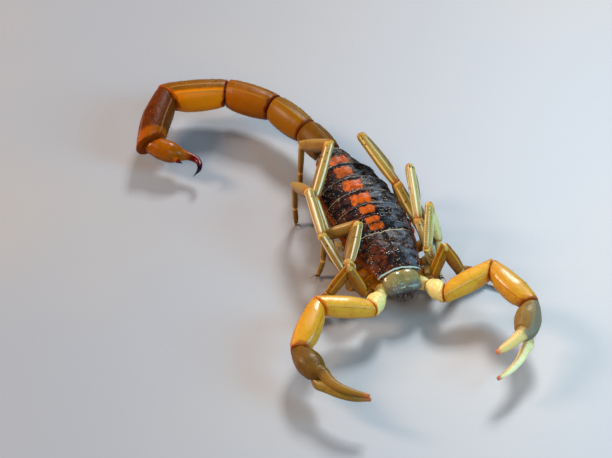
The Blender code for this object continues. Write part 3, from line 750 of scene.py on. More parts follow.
@dataclass(frozen=True)
class Cuticle:
    """Satin horn of the limbs and tail: a mottled ground with zones, ridges and small dark dots.

    Attributes:
        name: The material's name.
        ground: Main colour, 0 to 255 each.
        shade: Colour of the mottling.
        ridge: Colour on keels and granules; on the legs it is near white and partly paints highlights along
            the keels.
        zones: Parts with a colour of their own, in the order that they cover each other.
        mottle: How much of the shade shows.
        dots: How strongly small dark dots show near the far end.
        roughness: Of the ground.
        grit: Strength of the fine bump.
        clear: How far light goes into it, from 0 to 1.
        gloss: Weight of its clear outer layer.
        shine: Strength of the reflections of the ground.
    """

    name: str
    ground: tuple[int, int, int]
    shade: tuple[int, int, int]
    ridge: tuple[int, int, int]
    zones: tuple[Zone, ...] = ()
    mottle: float = 0.6
    dots: float = 0.0
    roughness: float = 0.34
    grit: float = 0.3
    clear: float = 0.2
    gloss: float = 0.12
    shine: float = 0.26

    def build(self) -> bpy.types.Material:
        """Make the material."""
        shader = Shader(self.name)
        lay = shader.lay()
        relief = shader.attribute("relief").outputs["Fac"]
        cloud = shader.step(shader.noise(0.9, 5.0, 0.6), 0.42, 0.68)
        speck = shader.step(shader.noise(0.16, 3.0), 0.5, 0.7)
        patch = shader.maths("MAXIMUM", cloud, shader.times(speck, 0.55))
        mottling = shader.times(patch, self.mottle)
        colour = shader.mix(mottling, srgb(*self.ground), srgb(*self.shade))
        drift = shader.times(shader.maths("SUBTRACT", shader.noise(0.7, 4.0), 0.5), 0.16)
        for zone in self.zones:
            value = shader.maths("ADD", lay[zone.axis], drift)
            factor = shader.times(shader.step(value, zone.start, zone.full), zone.share)
            colour = shader.mix(factor, colour, srgb(*zone.colour))
        # Ridge colour on keels and granules; on the legs it is near white and partly paints highlights
        colour = shader.mix(shader.step(relief, 0.25, 0.9), colour, srgb(*self.ridge))
        if self.dots:
            near_end = shader.step(lay[1], 0.5, 0.72)
            spots = shader.times(shader.step(shader.cells(0.42), 0.26, 0.18), near_end)
            colour = shader.mix(shader.times(spots, self.dots), colour, srgb(44, 22, 8))
        grains = shader.step(shader.cells(0.09), 0.55, 0.1)
        normal = shader.bump(grains, self.grit, 0.03)
        normal = shader.bump(shader.noise(0.35, 4.0), 0.25, 0.06, normal)
        rough = shader.maths("ADD", shader.times(shader.noise(0.5), 0.22), self.roughness - 0.1)
        material = shader.close(
            colour, rough, normal, coat_weight=self.gloss, coat_roughness=0.16, specular_ior_level=self.shine)
        shader.surface.inputs["Subsurface Weight"].default_value = self.clear
        shader.surface.inputs["Subsurface Radius"].default_value = (1.0, 0.62, 0.1)
        shader.surface.inputs["Subsurface Scale"].default_value = 0.35 * MM
        return material


@dataclass(frozen=True)
class DarkPlate:
    """Near-black back plates with pale rear rims, pale grains and orange marks, and painted light: a
    grey-blue sheen on the animal's left half and a warm tint on its right half.

    Attributes:
        name: The material's name.
        blotch: How strongly the orange mark on the midline shows.
        flank: How strongly the orange side margins show.
        spread: Half width of the orange mark, as a share of the plate's.
        painted_sheen: How strongly a painted grey-blue sheen shows on the animal's left half, where the key
            light falls.
        scratch: Colour of the streaks in the ground.
        painted_warm_light: How strongly a painted warm-light tint browns the animal's right half, where the
            warm light falls.
        front_rim: How strongly a pale front edge shows.
        mark: Where the orange mark starts and ends, as shares of the plate's length.
    """

    name: str
    blotch: float = 1.0
    flank: float = 0.9
    spread: float = 0.2
    painted_sheen: float = 0.0
    scratch: tuple[int, int, int] = (48, 30, 36)
    painted_warm_light: float = 0.2
    front_rim: float = 0.0
    mark: tuple[float, float] = (0.28, 0.84)

    def build(self) -> bpy.types.Material:
        """Make the material."""
        shader = Shader(self.name)
        across, along, above = shader.lay()
        relief = shader.attribute("relief").outputs["Fac"]
        speck = shader.noise(0.22, 4.0)
        drift = shader.maths("SUBTRACT", shader.noise(0.5, 5.0), 0.5)
        warped = shader.maths("ABSOLUTE", shader.maths("ADD", across, shader.times(drift, 0.1)))
        offset = shader.maths("ADD", shader.maths("ADD", across, 0.05), shader.times(drift, 0.2))
        reach = shader.maths("ADD", along, shader.times(drift, 0.34))
        cloud = shader.step(shader.noise(1.1, 6.0, 1.2), 0.45, 0.62)
        colour = shader.mix(cloud, srgb(5, 3, 8), srgb(20, 11, 20))
        streaks = shader.times(shader.step(shader.noise(0.42, 6.0, 2.4), 0.52, 0.66), 0.75)
        colour = shader.mix(streaks, colour, srgb(*self.scratch))
        # Painted light: brown patches on the animal's right half paint the warm light falling on that side
        tint = shader.times(shader.step(across, 0.1, -0.35), shader.step(shader.noise(0.6, 5.0), 0.42, 0.62))
        colour = shader.mix(shader.times(tint, self.painted_warm_light), colour, srgb(104, 44, 10))
        # Painted sheen: grey-blue patches on the animal's left half paint the key light's reflection
        cool = shader.times(shader.step(across, 0.1, 0.5), shader.step(shader.noise(0.8, 5.0), 0.4, 0.6))
        colour = shader.mix(shader.times(cool, self.painted_sheen), colour, srgb(84, 92, 104))
        near = shader.step(shader.maths("ABSOLUTE", offset), self.spread * 1.2, self.spread * 0.88)
        middle = shader.times(near, shader.step(reach, self.mark[0], self.mark[0] + 0.1))
        middle = shader.times(middle, shader.step(reach, self.mark[1], self.mark[1] - 0.08))
        colour = shader.mix(shader.times(middle, self.blotch), colour, srgb(206, 88, 2))
        burnt = shader.times(middle, shader.step(shader.noise(0.45, 5.0), 0.46, 0.64))
        colour = shader.mix(shader.times(burnt, self.blotch * 0.7), colour, srgb(132, 44, 2))
        flank = shader.times(shader.step(warped, 0.88, 0.95), self.flank)
        colour = shader.mix(flank, colour, srgb(160, 70, 4))
        colour = shader.mix(shader.step(above, -0.02, -0.18), colour, srgb(150, 92, 20))
        pale = shader.times(shader.step(relief, 0.35, 0.8), shader.step(speck, 0.5, 0.62))
        colour = shader.mix(shader.times(pale, 0.7), colour, srgb(150, 122, 100))
        rim = shader.times(shader.step(along, 0.962, 0.984), shader.step(above, 0.05, 0.2))
        colour = shader.mix(shader.times(rim, 0.9), colour, srgb(206, 188, 158))
        front = shader.times(shader.step(along, 0.052, 0.036), shader.step(along, 0.004, 0.012))
        colour = shader.mix(shader.times(front, self.front_rim), colour, srgb(160, 178, 166))
        strewn = shader.step(shader.noise(0.7, 5.0), 0.46, 0.54)
        dust = shader.times(shader.step(shader.cells(0.21), 0.32, 0.16), strewn)
        clear = shader.maths("SUBTRACT", 1.0, shader.times(middle, self.blotch * 0.8))
        colour = shader.mix(shader.times(dust, shader.times(clear, 0.8)), colour, srgb(196, 172, 146))
        normal = shader.bump(shader.step(shader.cells(0.1), 0.55, 0.08), 0.5, 0.035)
        normal = shader.bump(shader.noise(0.3, 4.0), 0.3, 0.06, normal)
        rough = shader.maths("ADD", shader.times(speck, 0.3), 0.26)
        return shader.close(
            colour, rough, normal, coat_weight=0.07, coat_roughness=0.22, specular_ior_level=0.1)


@dataclass(frozen=True)
class SoftSkin:
    """Folded skin between the plates.

    Attributes:
        name: The material's name.
        pale: Colour of the folds' crests, painted light on them.
        deep: Colour in the folds, painted shade there, and of the dark patches.
    """

    name: str
    pale: tuple[int, int, int]
    deep: tuple[int, int, int]

    def build(self) -> bpy.types.Material:
        """Make the material."""
        shader = Shader(self.name)
        across, along, above = shader.lay()
        folds = shader.maths("ABSOLUTE", shader.maths("SINE", shader.times(along, 22.0)))
        # Painted light and shade: pale on the fold crests, dark in the fold hollows, following the folds'
        # bump
        colour = shader.mix(shader.times(folds, 0.7), srgb(*self.deep), srgb(*self.pale))
        colour = shader.mix(shader.step(shader.noise(0.3, 4.0), 0.45, 0.75), colour, srgb(*self.deep))
        normal = shader.bump(folds, 0.4, 0.08)
        return shader.close(colour, 0.5, normal, coat_weight=0.1, coat_roughness=0.4)


@dataclass(frozen=True)
class WetBead:
    """Polished black eyes and the dark horn of claws and sting points."""

    name: str
    colour: tuple[int, int, int] = (8, 8, 12)
    haze: tuple[int, int, int] = (34, 30, 44)
    roughness: float = 0.06

    def build(self) -> bpy.types.Material:
        """Make the material."""
        shader = Shader(self.name)
        cloud = shader.step(shader.noise(0.2, 3.0), 0.4, 0.75)
        colour = shader.mix(cloud, srgb(*self.colour), srgb(*self.haze))
        normal = shader.bump(shader.noise(0.12, 2.0), 0.05, 0.01)
        rough = shader.maths("ADD", shader.times(cloud, 0.06), self.roughness)
        return shader.close(colour, rough, normal, coat_weight=0.8, coat_roughness=0.05, ior=1.6)


# The animal's parts


@dataclass
class ArchedTube(Tube):
    """A skin with an arched top and a flatter base, for the head shield and the back.

    Attributes:
        top: Height of the crest along it.
        margin: Height of its widest line along it.
        base: Height of its underside along it.
    """

    top: Curve = even(1.0)
    margin: Curve = even(0.5)
    base: Curve = even(0.0)

    def section(self, share: float, angle: float) -> tuple[float, float]:
        """Across and above of the arch, about its widest line."""
        height = math.sin(angle)
        margin = self.margin.at(share)
        reach = self.top.at(share) - margin if height > 0 else margin - self.base.at(share)
        return self.width.at(share) * signed_power(math.cos(angle), self.square), reach * height

    def sculpt(self, share: float, distance: float, x: float, z: float) -> tuple[float, float, float]:
        """Lift the section to its height above the floor."""
        return 0.0, 0.0, self.margin.at(share)


@dataclass
class ShieldSkin(ArchedTube):
    """The head shield, with its eye hill, furrows and notched front."""

    hill: tuple[float, float, float] = (1.95, 0.36, 0.66)
    notch: float = 0.3
    scallop: float = 0.05

    def sculpt(self, share: float, distance: float, x: float, z: float) -> tuple[float, float, float]:
        """Raise the eye hill and the crests, sink the furrows and notch the front edge."""
        place, rise, spread = self.hill
        upper = smooth(0.0, 0.5, z)
        apart = Vector((x * 0.8, distance - place)).length / spread
        lift = rise * math.exp(-apart * apart)
        crest = hump(abs(x), 0.42, 0.16) * smooth(1.0, 1.4, distance) * (1 - smooth(2.5, 3.0, distance))
        furrow = hump(x, 0.0, 0.2) * (0.06 + 0.06 * smooth(2.6, 4.2, distance))
        bend = 0.16 * math.sin(distance * 1.9)
        side_furrow = hump(abs(x), 1.25 + 0.16 * distance + bend, 0.3) * 0.06 * smooth(1.6, 2.8, distance)
        lumps = 0.07 * noise.noise(Vector((x * 1.6, distance * 1.6, 3.0)))
        above = lift + 0.06 * crest + lumps - furrow - side_furrow
        along = self.notch * hump(x, 0.0, 1.1) * (1 - smooth(0.0, 1.4, distance))
        along -= self.scallop * abs(math.sin(x * 7.0)) * (1 - smooth(0.0, 0.3, distance))
        return 0.0, along, self.margin.at(share) + above * upper


@dataclass
class BackSkin(ArchedTube):
    """One ring of the back: an upper plate with a free rear lip, folded flanks and a belly plate."""

    lip: float = 0.12
    bow: float = 0.85
    front_bow: bool = True
    rear_edge: Knots = ((0.03, 0.02), (0.0, 0.06), (0.06, 0.14), (0.2, 0.3), (0.3, 0.8))

    def stations(self) -> list[tuple[float, float]]:
        """Rings from the tucked front to the lip and the hollow behind it."""
        length = self.path.length
        front = [(0.0, 0.75), (0.02, 0.42), (0.08, 0.26), (0.16, 0.16)]
        last = self.rings - 1
        body = [(0.24 + (length - 0.32) * step / last, 0.12 - 0.12 * smooth(0.0, 1.0, step / last))
                for step in range(self.rings)]
        rear = [(length - back, inset) for back, inset in self.rear_edge]
        return front + body + rear

    def section(self, share: float, angle: float) -> tuple[float, float]:
        """The arch with a fold along each flank."""
        across, above = super().section(share, angle)
        fold = 0.1 * hump(math.sin(angle), -0.12, 0.1)
        rise = 0.55 * smooth(0.3, 0.55, share) + 0.45 * smooth(0.8, 0.97, share)
        swell = self.lip * rise * smooth(0.0, 0.25, math.sin(angle))
        flare = math.copysign(swell * abs(math.cos(angle)), across)
        return across * (1 - fold) + flare, above + swell * math.sin(angle)

    def sculpt(self, share: float, distance: float, x: float, z: float) -> tuple[float, float, float]:
        """Raise the ring, with a crest along the back's midline and a little billow in its rear edge."""
        crest = 0.06 * hump(x, 0.0, 0.16) * smooth(0.25, 0.5, share)
        bow = self.bow if self.front_bow else self.bow * smooth(0.0, 0.6, share)
        along = -bow * (x / self.width.at(share)) ** 2
        return 0.0, along, self.margin.at(share) + crest * smooth(0.2, 0.6, z)


@dataclass
class Carapace:
    """The head shield with its middle and side eyes."""

    length: float = 5.2
    front_half: float = 2.2
    rear_half: float = 3.5
    front_top: float = 4.2
    rear_top: float = 5.05
    margin: float = 3.55
    base: float = 3.15
    eye_y: float = 1.95
    eye_x: float = 0.5
    eye_radius: float = 0.27
    side_eyes: int = 3

    def build(self, body: Body, finish: bpy.types.Material, bead_finish: bpy.types.Material) -> None:
        """Make the shield and the eyes."""
        mesh = new_mesh()
        spine = Path([Vector((0, 0, 0)), Vector((0, self.length, 0))], UP)
        ShieldSkin(
            path=spine,
            width=Curve(((0.0, self.front_half), (0.3, self.front_half + 0.45), (0.7, self.rear_half - 0.25),
                         (1.0, self.rear_half))),
            depth=even(0.9), sides=112, rings=64, rim=0.1, square=0.85,
            grain=Grain(0.17, 0.055, on_top),
            top=Curve(((0.0, self.front_top), (0.35, self.front_top + 0.5), (1.0, self.rear_top))),
            margin=even(self.margin), base=even(self.base)).build(mesh)
        body.dress(mesh, "head_shield", finish, ("carapace",))
        for side in Side:
            mesh = new_mesh()
            place = Vector((side.sign * self.eye_x, self.eye_y, self.front_top + 0.72))
            look = Matrix.Translation(place) @ Matrix.Rotation(math.radians(side.sign * 52), 4, "Y")
            bead(mesh, look, Vector((self.eye_radius, self.eye_radius * 1.08, self.eye_radius * 0.85)), 28)
            for number in range(self.side_eyes):
                x = self.front_half - 0.1 + 0.12 * number
                spot = Vector((side.sign * x, 0.3 + 0.34 * number, self.margin + 0.28))
                bead(mesh, Matrix.Translation(spot), Vector((0.13, 0.14, 0.13)) * (1 - 0.12 * number), 14)
            body.dress(mesh, f"eyes_{side.value}", bead_finish, (f"eye_{side.value}",))


@dataclass
class Mesosoma:
    """The seven rings of the back."""

    start: float = 5.2
    lengths: tuple[float, ...] = (1.1, 1.2, 1.6, 2.2, 2.4, 2.6, 3.2)
    half_widths: tuple[float, ...] = (3.55, 3.65, 3.72, 3.75, 3.55, 3.1, 1.75)
    tops: tuple[float, ...] = (5.15, 5.25, 5.35, 5.35, 5.2, 5.0, 4.55)
    bellies: tuple[float, ...] = (2.3, 2.1, 1.95, 1.9, 1.95, 2.05, 2.55)
    overlap: float = 0.22
    margin_share: float = 0.52
    last_keels: tuple[float, ...] = (62, 74, 106, 118)

    def build(self, body: Body, finishes: list[bpy.types.Material]) -> None:
        """Make each ring from the rear edge of the one before it to its own."""
        y = self.start
        before = (3.42, 5.0, 2.5)
        for index, length in enumerate(self.lengths):
            after = (self.half_widths[index], self.tops[index], self.bellies[index])
            margins = [low + (high - low) * self.margin_share for _, high, low in (before, after)]
            front = y - (self.overlap if index else 0.05)
            spine = Path([Vector((0, front, 0)), Vector((0, y + length - 0.02, 0))], UP)
            last = index == len(self.lengths) - 1
            angles = self.last_keels if last else ()
            keels = tuple(Keel(angle, 0.07, 3.0, 0.17, 0.25, 0.9) for angle in angles)
            mesh = new_mesh()
            BackSkin(
                path=spine, width=Curve(((0.0, before[0]), (1.0, after[0]))), depth=even(1.0),
                sides=104, rings=10 + round(length * 8), rim=0.3, square=0.85, keels=keels,
                grain=Grain(0.17, 0.06, lambda share, sine: smooth(0.1, 0.3, sine) * smooth(0.3, 0.5, share)),
                top=Curve(((0.0, before[1] - 0.05), (1.0, after[1]))),
                margin=Curve(((0.0, margins[0]), (1.0, margins[1]))),
                base=Curve(((0.0, before[2]), (1.0, after[2]))), lip=0.19, front_bow=index > 0).build(mesh)
            number = index + 1
            body.dress(mesh, f"back_plate_{number}", finishes[index], (f"back_{number}",))
            y += length
            before = after


def joint_skin(mesh: bmesh.types.BMesh, first: Matrix, length: float, second: Matrix, radius: float,
               reach: float = 0.7) -> None:
    """Add the soft skin that bridges two stretches.

    Args:
        mesh: Where it goes.
        first: The frame of the stretch before the joint.
        length: That stretch's length.
        second: The frame of the stretch after the joint.
        radius: Of the skin.
        reach: How far it runs into each stretch.
    """
    points = [ahead(first, length - reach), ahead(first, length), ahead(second, reach)]
    middle = (points[0] + points[2]) / 2
    points[1] = points[1].lerp(middle, 0.35)
    width = Curve(((0.0, radius), (0.5, radius * 0.98), (1.0, radius)))
    Tube(Path(points, first.col[2].to_3d()), width, width, sides=20, rings=14, rim=0.15).build(mesh)


def mitres(first: Matrix, second: Matrix, most: float = 1.1) -> tuple[Lean, Lean]:
    """The leans that make two stretches meet in their joint's own plane.

    Args:
        first: The frame before the joint.
        second: The frame after it.
        most: The steepest lean.

    Returns:
        The lean at the first's end and at the second's start.
    """
    before, after = first.col[1].to_3d(), second.col[1].to_3d()
    slope = min(math.tan(before.angle(after) / 2), most)
    leans = []
    for base, towards in ((first, after), (second, -before)):
        inner = Vector((towards.dot(base.col[0].to_3d()), towards.dot(base.col[2].to_3d())))
        outer = -inner.normalized() if inner.length > 1e-6 else Vector((0.0, 0.0))
        leans.append((slope * outer.x, slope * outer.y))
    return leans[0], leans[1]


@dataclass
class Metasoma:
    """The five keeled rings of the tail, curled to one side, and the sting."""

    root: tuple[float, float, float] = (0.1, 19.75, 3.62)
    lengths: tuple[float, ...] = (4.4, 5.3, 5.5, 6.25, 7.2)
    half_widths: tuple[float, ...] = (1.5, 1.52, 1.6, 1.58, 1.5)
    half_depths: tuple[float, ...] = (1.38, 1.47, 1.6, 1.56, 1.48)
    bearings: tuple[tuple[float, float], ...] = ((-12, 0), (-19, -1), (-43, 0), (-75, -2), (-148, -5))
    rolls: tuple[float, ...] = (35, 55, 72, 85, 90)
    sting_bearing: tuple[float, float] = (135, -6)
    gap: float = 0.16
    last_bow: tuple[float, float, float] = (-0.26, 0.06, 0.05)

    def frames(self) -> list[Matrix]:
        """The frame of each ring and of the sting."""
        place = Vector(self.root)
        found = []
        for index, length in enumerate(self.lengths):
            found.append(seat(place, self.bearings[index], -self.rolls[index]))
            place = ahead(found[-1], length)
        return found + [seat(place, self.sting_bearing, -self.rolls[-1])]

    def keels(self, index: int) -> tuple[Keel, ...]:
        """The ridges of one ring, of which the last has fewer."""
        if index == 4:
            return tuple(Keel(angle, 0.06, 4.0, 0.26) for angle in (42, 138, -48, 228, -90))
        plain = [Keel(angle, 0.055, 4.2, 0.24, 0.06, 0.96) for angle in (44, 136)]
        plain += [Keel(angle, 0.05, 4.2, 0.25, 0.06, 0.96) for angle in (8, 172, -48, 228)]
        plain += [Keel(angle, 0.055, 4.0, 0.28, 0.08, 0.94) for angle in (-74, 254)]
        return tuple(plain)

    def build(self, body: Body, finishes: list[bpy.types.Material], soft: bpy.types.Material,
              sting: bpy.types.Material, coat: Coat) -> None:
        """Make the rings, the skin between them and the sting."""
        frames = self.frames()
        leans = [mitres(a, b) for a, b in zip(frames, frames[1:])]
        for index, length in enumerate(self.lengths):
            wide, deep = self.half_widths[index], self.half_depths[index]
            shape = ((0.0, 0.86), (0.15, 0.94), (0.5, 1.02), (0.82, 0.98), (1.0, 0.88))
            mesh = new_mesh()
            path = straight(frames[index], self.gap / 2, length - self.gap / 2)
            if index == 4:
                bowed = path.point(0.5) + Vector(self.last_bow)
                path = Path([path.points[0], bowed, path.points[1]], path.up)
            skin = Tube(
                path=path, width=Curve(tuple((share, wide * size) for share, size in shape)),
                depth=Curve(tuple((share, deep * size) for share, size in shape)),
                sides=108, rings=72, rim=0.17, square=0.9, keels=self.keels(index),
                grain=Grain(
                    0.24, 0.045, lambda share, sine: 1 - smooth(-0.1, 0.35, sine) if index < 4 else 0.8),
                start_mitre=leans[index - 1][1] if index else (0.0, 0.0), end_mitre=leans[index][0])
            skin.build(mesh)
            coat.grow(skin)
            body.dress(mesh, f"tail_ring_{index + 1}", finishes[index], (f"tail_{index + 1}",))
        mesh = new_mesh()
        start = seat(Vector(self.root) - direction(self.bearings[0]) * 1.5, self.bearings[0])
        joint_skin(mesh, start, 1.5, frames[0], 1.0)
        for index, length in enumerate(self.lengths[:-1]):
            joint_skin(mesh, frames[index], length, frames[index + 1], 1.02)
        joint_skin(mesh, frames[4], self.lengths[4], frames[5], 0.6, 0.5)
        body.dress(mesh, "tail_joints", soft)
        self.build_sting(body, frames[5], sting, leans[4][1], coat)

    def build_sting(self, body: Body, base: Matrix, finish: bpy.types.Material, lean: Lean,
                    coat: Coat) -> None:
        """Make the bulb, its curved point and the tooth under it."""
        points = ((0, 0.1, 0), (0, 1.2, 0.02), (0, 2.4, 0.08), (0, 3.3, 0.25), (0, 4.3, 0.5), (0, 5.3, 0.3),
                  (0, 5.95, -0.65), (-0.3, 5.85, -1.75))
        spine = Path([base @ Vector(point) for point in points], base.col[2].to_3d())
        size = ((0.0, 0.66), (0.06, 0.92), (0.15, 1.1), (0.27, 1.12), (0.38, 0.92), (0.47, 0.58),
                (0.56, 0.42), (0.7, 0.33), (0.86, 0.22), (1.0, 0.03))
        mesh = new_mesh()
        skin = Tube(
            path=spine, width=Curve(tuple((share, half * 0.97) for share, half in size)), depth=Curve(size),
            sides=56, rings=96, rim=0.02, square=0.95, start_mitre=lean,
            keels=(Keel(-90, 0.05, 7.0, 0.22, 0.04, 0.32),),
            grain=Grain(0.26, 0.02, bulb_grain))
        skin.build(mesh)
        bulb = Path([spine.point(share) for share in (0.0, 0.15, 0.3, 0.45)], spine.up)
        shape = Curve(tuple((share / 0.45, half) for share, half in size[:6]))
        coat.grow(Tube(bulb, shape, shape))
        tooth = [base @ Vector(point) for point in ((0, 2.9, -0.35), (0, 3.5, -0.72), (0, 4.1, -0.86))]
        taper = Curve(((0.0, 0.42), (0.5, 0.28), (1.0, 0.05)))
        Tube(Path(tooth, base.col[2].to_3d()), taper, taper, sides=20, rings=14, rim=0.03).build(mesh)
        body.dress(mesh, "sting_bulb", finish, ("sting",))


@dataclass
class JawSkin(Tube):
    """A jaw's base, rounded outside and flat where it lies against the other one."""

    inner: float = 1.0
    box: float = 0.4

    def section(self, share: float, angle: float) -> tuple[float, float]:
        """Across and above, squarer towards the midline."""
        power = self.box if math.cos(angle) * self.inner > 0 else self.square
        return (self.width.at(share) * signed_power(math.cos(angle), power),
                self.depth.at(share) * signed_power(math.sin(angle), power))


@dataclass
class Chelicera:
    """One jaw: a plump base and two toothed fingers."""

    side: Side
    middle: float = 0.5
    seam: float = 0.012
    run: Knots = ((0.5, 3.34), (-0.35, 3.22), (-1.0, 2.92), (-1.62, 2.5))
    half_width: float = 1.4
    half_depth: float = 0.84

    def build(self, body: Body, finish: bpy.types.Material, dark: bpy.types.Material) -> None:
        """Make the base and its fingers."""
        sign = self.side.sign
        spine = Path([Vector((sign * self.middle, y, z)) for y, z in self.run], Vector((0, -1, 2)))
        swell = ((0.0, 0.94), (0.3, 1.0), (0.6, 0.97), (0.85, 0.86), (1.0, 0.66))
        mesh = new_mesh()
        skin = JawSkin(
            inner=sign, path=spine, width=Curve(tuple((s, self.half_width * v) for s, v in swell)),
            depth=Curve(tuple((s, self.half_depth * v) for s, v in swell)), sides=72, rings=44, rim=0.4,
            grain=Grain(0.22, 0.05, lambda share, sine: on_top(share, sine) * smooth(0.35, 0.6, share)))
        skin.build(mesh)
        for vert in mesh.verts:
            inward = self.seam - sign * vert.co.x
            vert.co.x += sign * max(inward, 0.0) * 0.97
        body.dress(mesh, f"chelicera_{self.side.value}", finish, (f"jaw_{self.side.value}",))
        tip = spine.frame(0.9)
        mesh = new_mesh()
        # x runs towards the midline in these points
        for points, thick, inward in ((((0.36, 0.0, 0.0), (0.48, 0.35, -0.1), (0.34, 0.75, -0.42)), 0.3, 0),
                                      (((-0.34, 0.0, -0.1), (-0.36, 0.42, -0.24), (0.02, 0.82, -0.5)), 0.34,
                                       180)):
            places = [tip @ Vector((-(x - 0.3) * sign, y, z)) for x, y, z in points]
            taper = Curve(((0.0, thick), (0.5, thick * 0.72), (1.0, 0.06)))
            teeth = (Keel(inward if sign > 0 else 180 - inward, 0.08, 16, 0.26, 0.15, 0.9),)
            Tube(Path(places, UP), taper, taper, sides=24, rings=22, rim=0.04, keels=teeth).build(mesh)
        body.dress(mesh, f"chelicera_{self.side.value}_fingers", dark)


@dataclass
class Pedipalp:
    """One pincer arm: hip, three stretches, the hand with its fixed finger, and the movable finger."""

    side: Side
    bearings: dict[str, tuple[float, float]]
    fixed: tuple[tuple[float, float, float], ...]
    movable: tuple[tuple[float, float, float], ...]
    fixed_radii: tuple[float, ...] = (0.66, 0.5, 0.42, 0.24)
    movable_radii: tuple[float, ...] = (0.5, 0.4, 0.32, 0.2)
    hip: tuple[float, float, float] = (2.55, -1.25, 2.6)
    hip_root: tuple[float, float, float] = (1.35, 0.9, 1.95)
    lengths: tuple[float, ...] = (2.2, 5.15, 6.0, 4.3)
    names: tuple[str, ...] = ("trochanter", "femur", "patella", "hand")
    gap: float = 0.14
    hand_keels: tuple[float, ...] = (24, 66, 114, 156, -40, 220)

    def frames(self) -> list[Matrix]:
        """The frame of each stretch, from the hip out."""
        place = Vector((self.side.sign * self.hip[0], self.hip[1], self.hip[2]))
        found = []
        for name, length in zip(self.names, self.lengths):
            found.append(seat(place, self.bearings[name]))
            place = ahead(found[-1], length)
        return found

    def hip_frame(self) -> tuple[Matrix, float]:
        """The hip's frame and length."""
        sign = self.side.sign
        inner = Vector((sign * self.hip_root[0], self.hip_root[1], self.hip_root[2]))
        outer = Vector((sign * self.hip[0], self.hip[1], self.hip[2]))
        run = outer - inner
        return seat_across(inner, run, run.cross(UP)), run.length

    def build(self, body: Body, finishes: dict[str, bpy.types.Material], coat: Coat) -> None:
        """Make every stretch, the fingers and the skin of the joints."""
        frames = self.frames()
        hip, hip_length = self.hip_frame()
        leans = [mitres(hip, frames[0])] + [mitres(a, b) for a, b in zip(frames, frames[1:])]
        shapes = {
            "trochanter": (((0.0, 0.72), (0.5, 0.95), (1.0, 0.82)), ((0.0, 0.7), (0.5, 0.92), (1.0, 0.84))),
            "femur": (((0.0, 0.8), (0.2, 0.92), (0.6, 1.0), (1.0, 0.88)),
                      ((0.0, 0.82), (0.5, 1.02), (1.0, 0.9))),
            "patella": (((0.0, 0.85), (0.25, 1.1), (0.6, 1.22), (0.85, 1.06), (1.0, 0.84)),
                        ((0.0, 0.82), (0.25, 1.02), (0.6, 1.08), (1.0, 0.82))),
        }
        for index, name in enumerate(self.names[:-1]):
            wide, deep = shapes[name]
            inner = 180 if self.side is Side.LEFT else 0
            keels = tuple(Keel(angle, 0.022, 5.0, 0.2, 0.04, 0.96) for angle in (38, 142, -38, 218))
            keels += (Keel(inner, 0.1, 6.0, 0.4, 0.1, 0.9),) if name == "patella" else ()
            mesh = new_mesh()
            skin = (Tube if index else FoldedTube)(
                path=straight(frames[index], self.gap / 2, self.lengths[index] - self.gap / 2),
                width=Curve(wide), depth=Curve(deep), sides=84, rings=60 if index else 28,
                rim=0.2, square=0.8,
                keels=keels if index else (), grain=Grain(0.2, 0.012, everywhere),
                start_mitre=leans[index][1], end_mitre=leans[index + 1][0])
            skin.build(mesh)
            coat.grow(skin)
            label = f"{self.side.value}_{name}"
            body.dress(mesh, f"palp_{label}", finishes[name], (f"arm_{label}",))
        mesh = new_mesh()
        joint_skin(mesh, hip, hip_length, frames[0], 0.55, 0.45)
        for index, length in enumerate(self.lengths[:-1]):
            joint_skin(mesh, frames[index], length, frames[index + 1], 0.58, 0.5)
        body.dress(mesh, f"palp_{self.side.value}_joints", finishes["joint"])
        self.build_hand(body, frames[3], finishes["hand"], finishes["finger"], leans[3][1], coat)

    def build_hand(self, body: Body, base: Matrix, finish: bpy.types.Material, finger: bpy.types.Material,
                   lean: Lean, coat: Coat) -> None:
        """Make the hand with its fixed finger, and the movable finger, with x towards the midline."""
        sign = self.side.sign
        palm = ((0.0, 0.1, 0.0), (0.0, 0.95, 0.0), (0.02, 2.0, 0.02), (0.05, 3.0, 0.06), (0.14, 3.6, 0.18))
        points = [base @ Vector((x * sign, y, z)) for x, y, z in palm + self.fixed]
        spine = Path(points, base.col[2].to_3d())
        marks = [mark / spine.length for mark in spine.marks]
        radii = (0.84, 1.14, 1.3, 1.16, 0.94) + self.fixed_radii
        wide = tuple(zip(marks, radii))
        deep = tuple((share, half * 0.84) for share, half in wide)
        palm_end = marks[4]
        keels = tuple(Keel(angle, 0.02, 4.0, 0.0, 0.05, palm_end * 1.1) for angle in self.hand_keels)
        bite = (Keel(-70, 0.05, 14.0, 0.2, palm_end * 1.25, 0.97),)
        mesh = new_mesh()
        skin = Tube(
            path=spine, width=Curve(wide), depth=Curve(deep), sides=72, rings=110, rim=0.12, square=0.92,
            keels=keels + bite,
            grain=Grain(0.17, 0.018, lambda share, sine: 1 - smooth(palm_end, palm_end * 1.2, share)),
            start_mitre=lean)
        skin.build(mesh)
        coat.grow(skin)
        label = self.side.value
        body.dress(mesh, f"palp_{label}_hand", finish, (f"arm_{label}_hand",))
        points = [base @ Vector((x * sign, y, z)) for x, y, z in ((0.04, 2.9, -0.16),) + self.movable]
        spine = Path(points, base.col[2].to_3d())
        marks = [mark / spine.length for mark in spine.marks]
        taper = Curve(tuple(zip(marks, (0.44, 0.54) + self.movable_radii)))
        mesh = new_mesh()
        Tube(
            path=spine, width=taper, depth=taper, sides=40, rings=72, rim=0.1,
            keels=(Keel(80, 0.045, 14.0, 0.2, 0.25, 0.97),)).build(mesh)
        body.dress(mesh, f"palp_{label}_finger", finger, (f"arm_{label}_finger",))


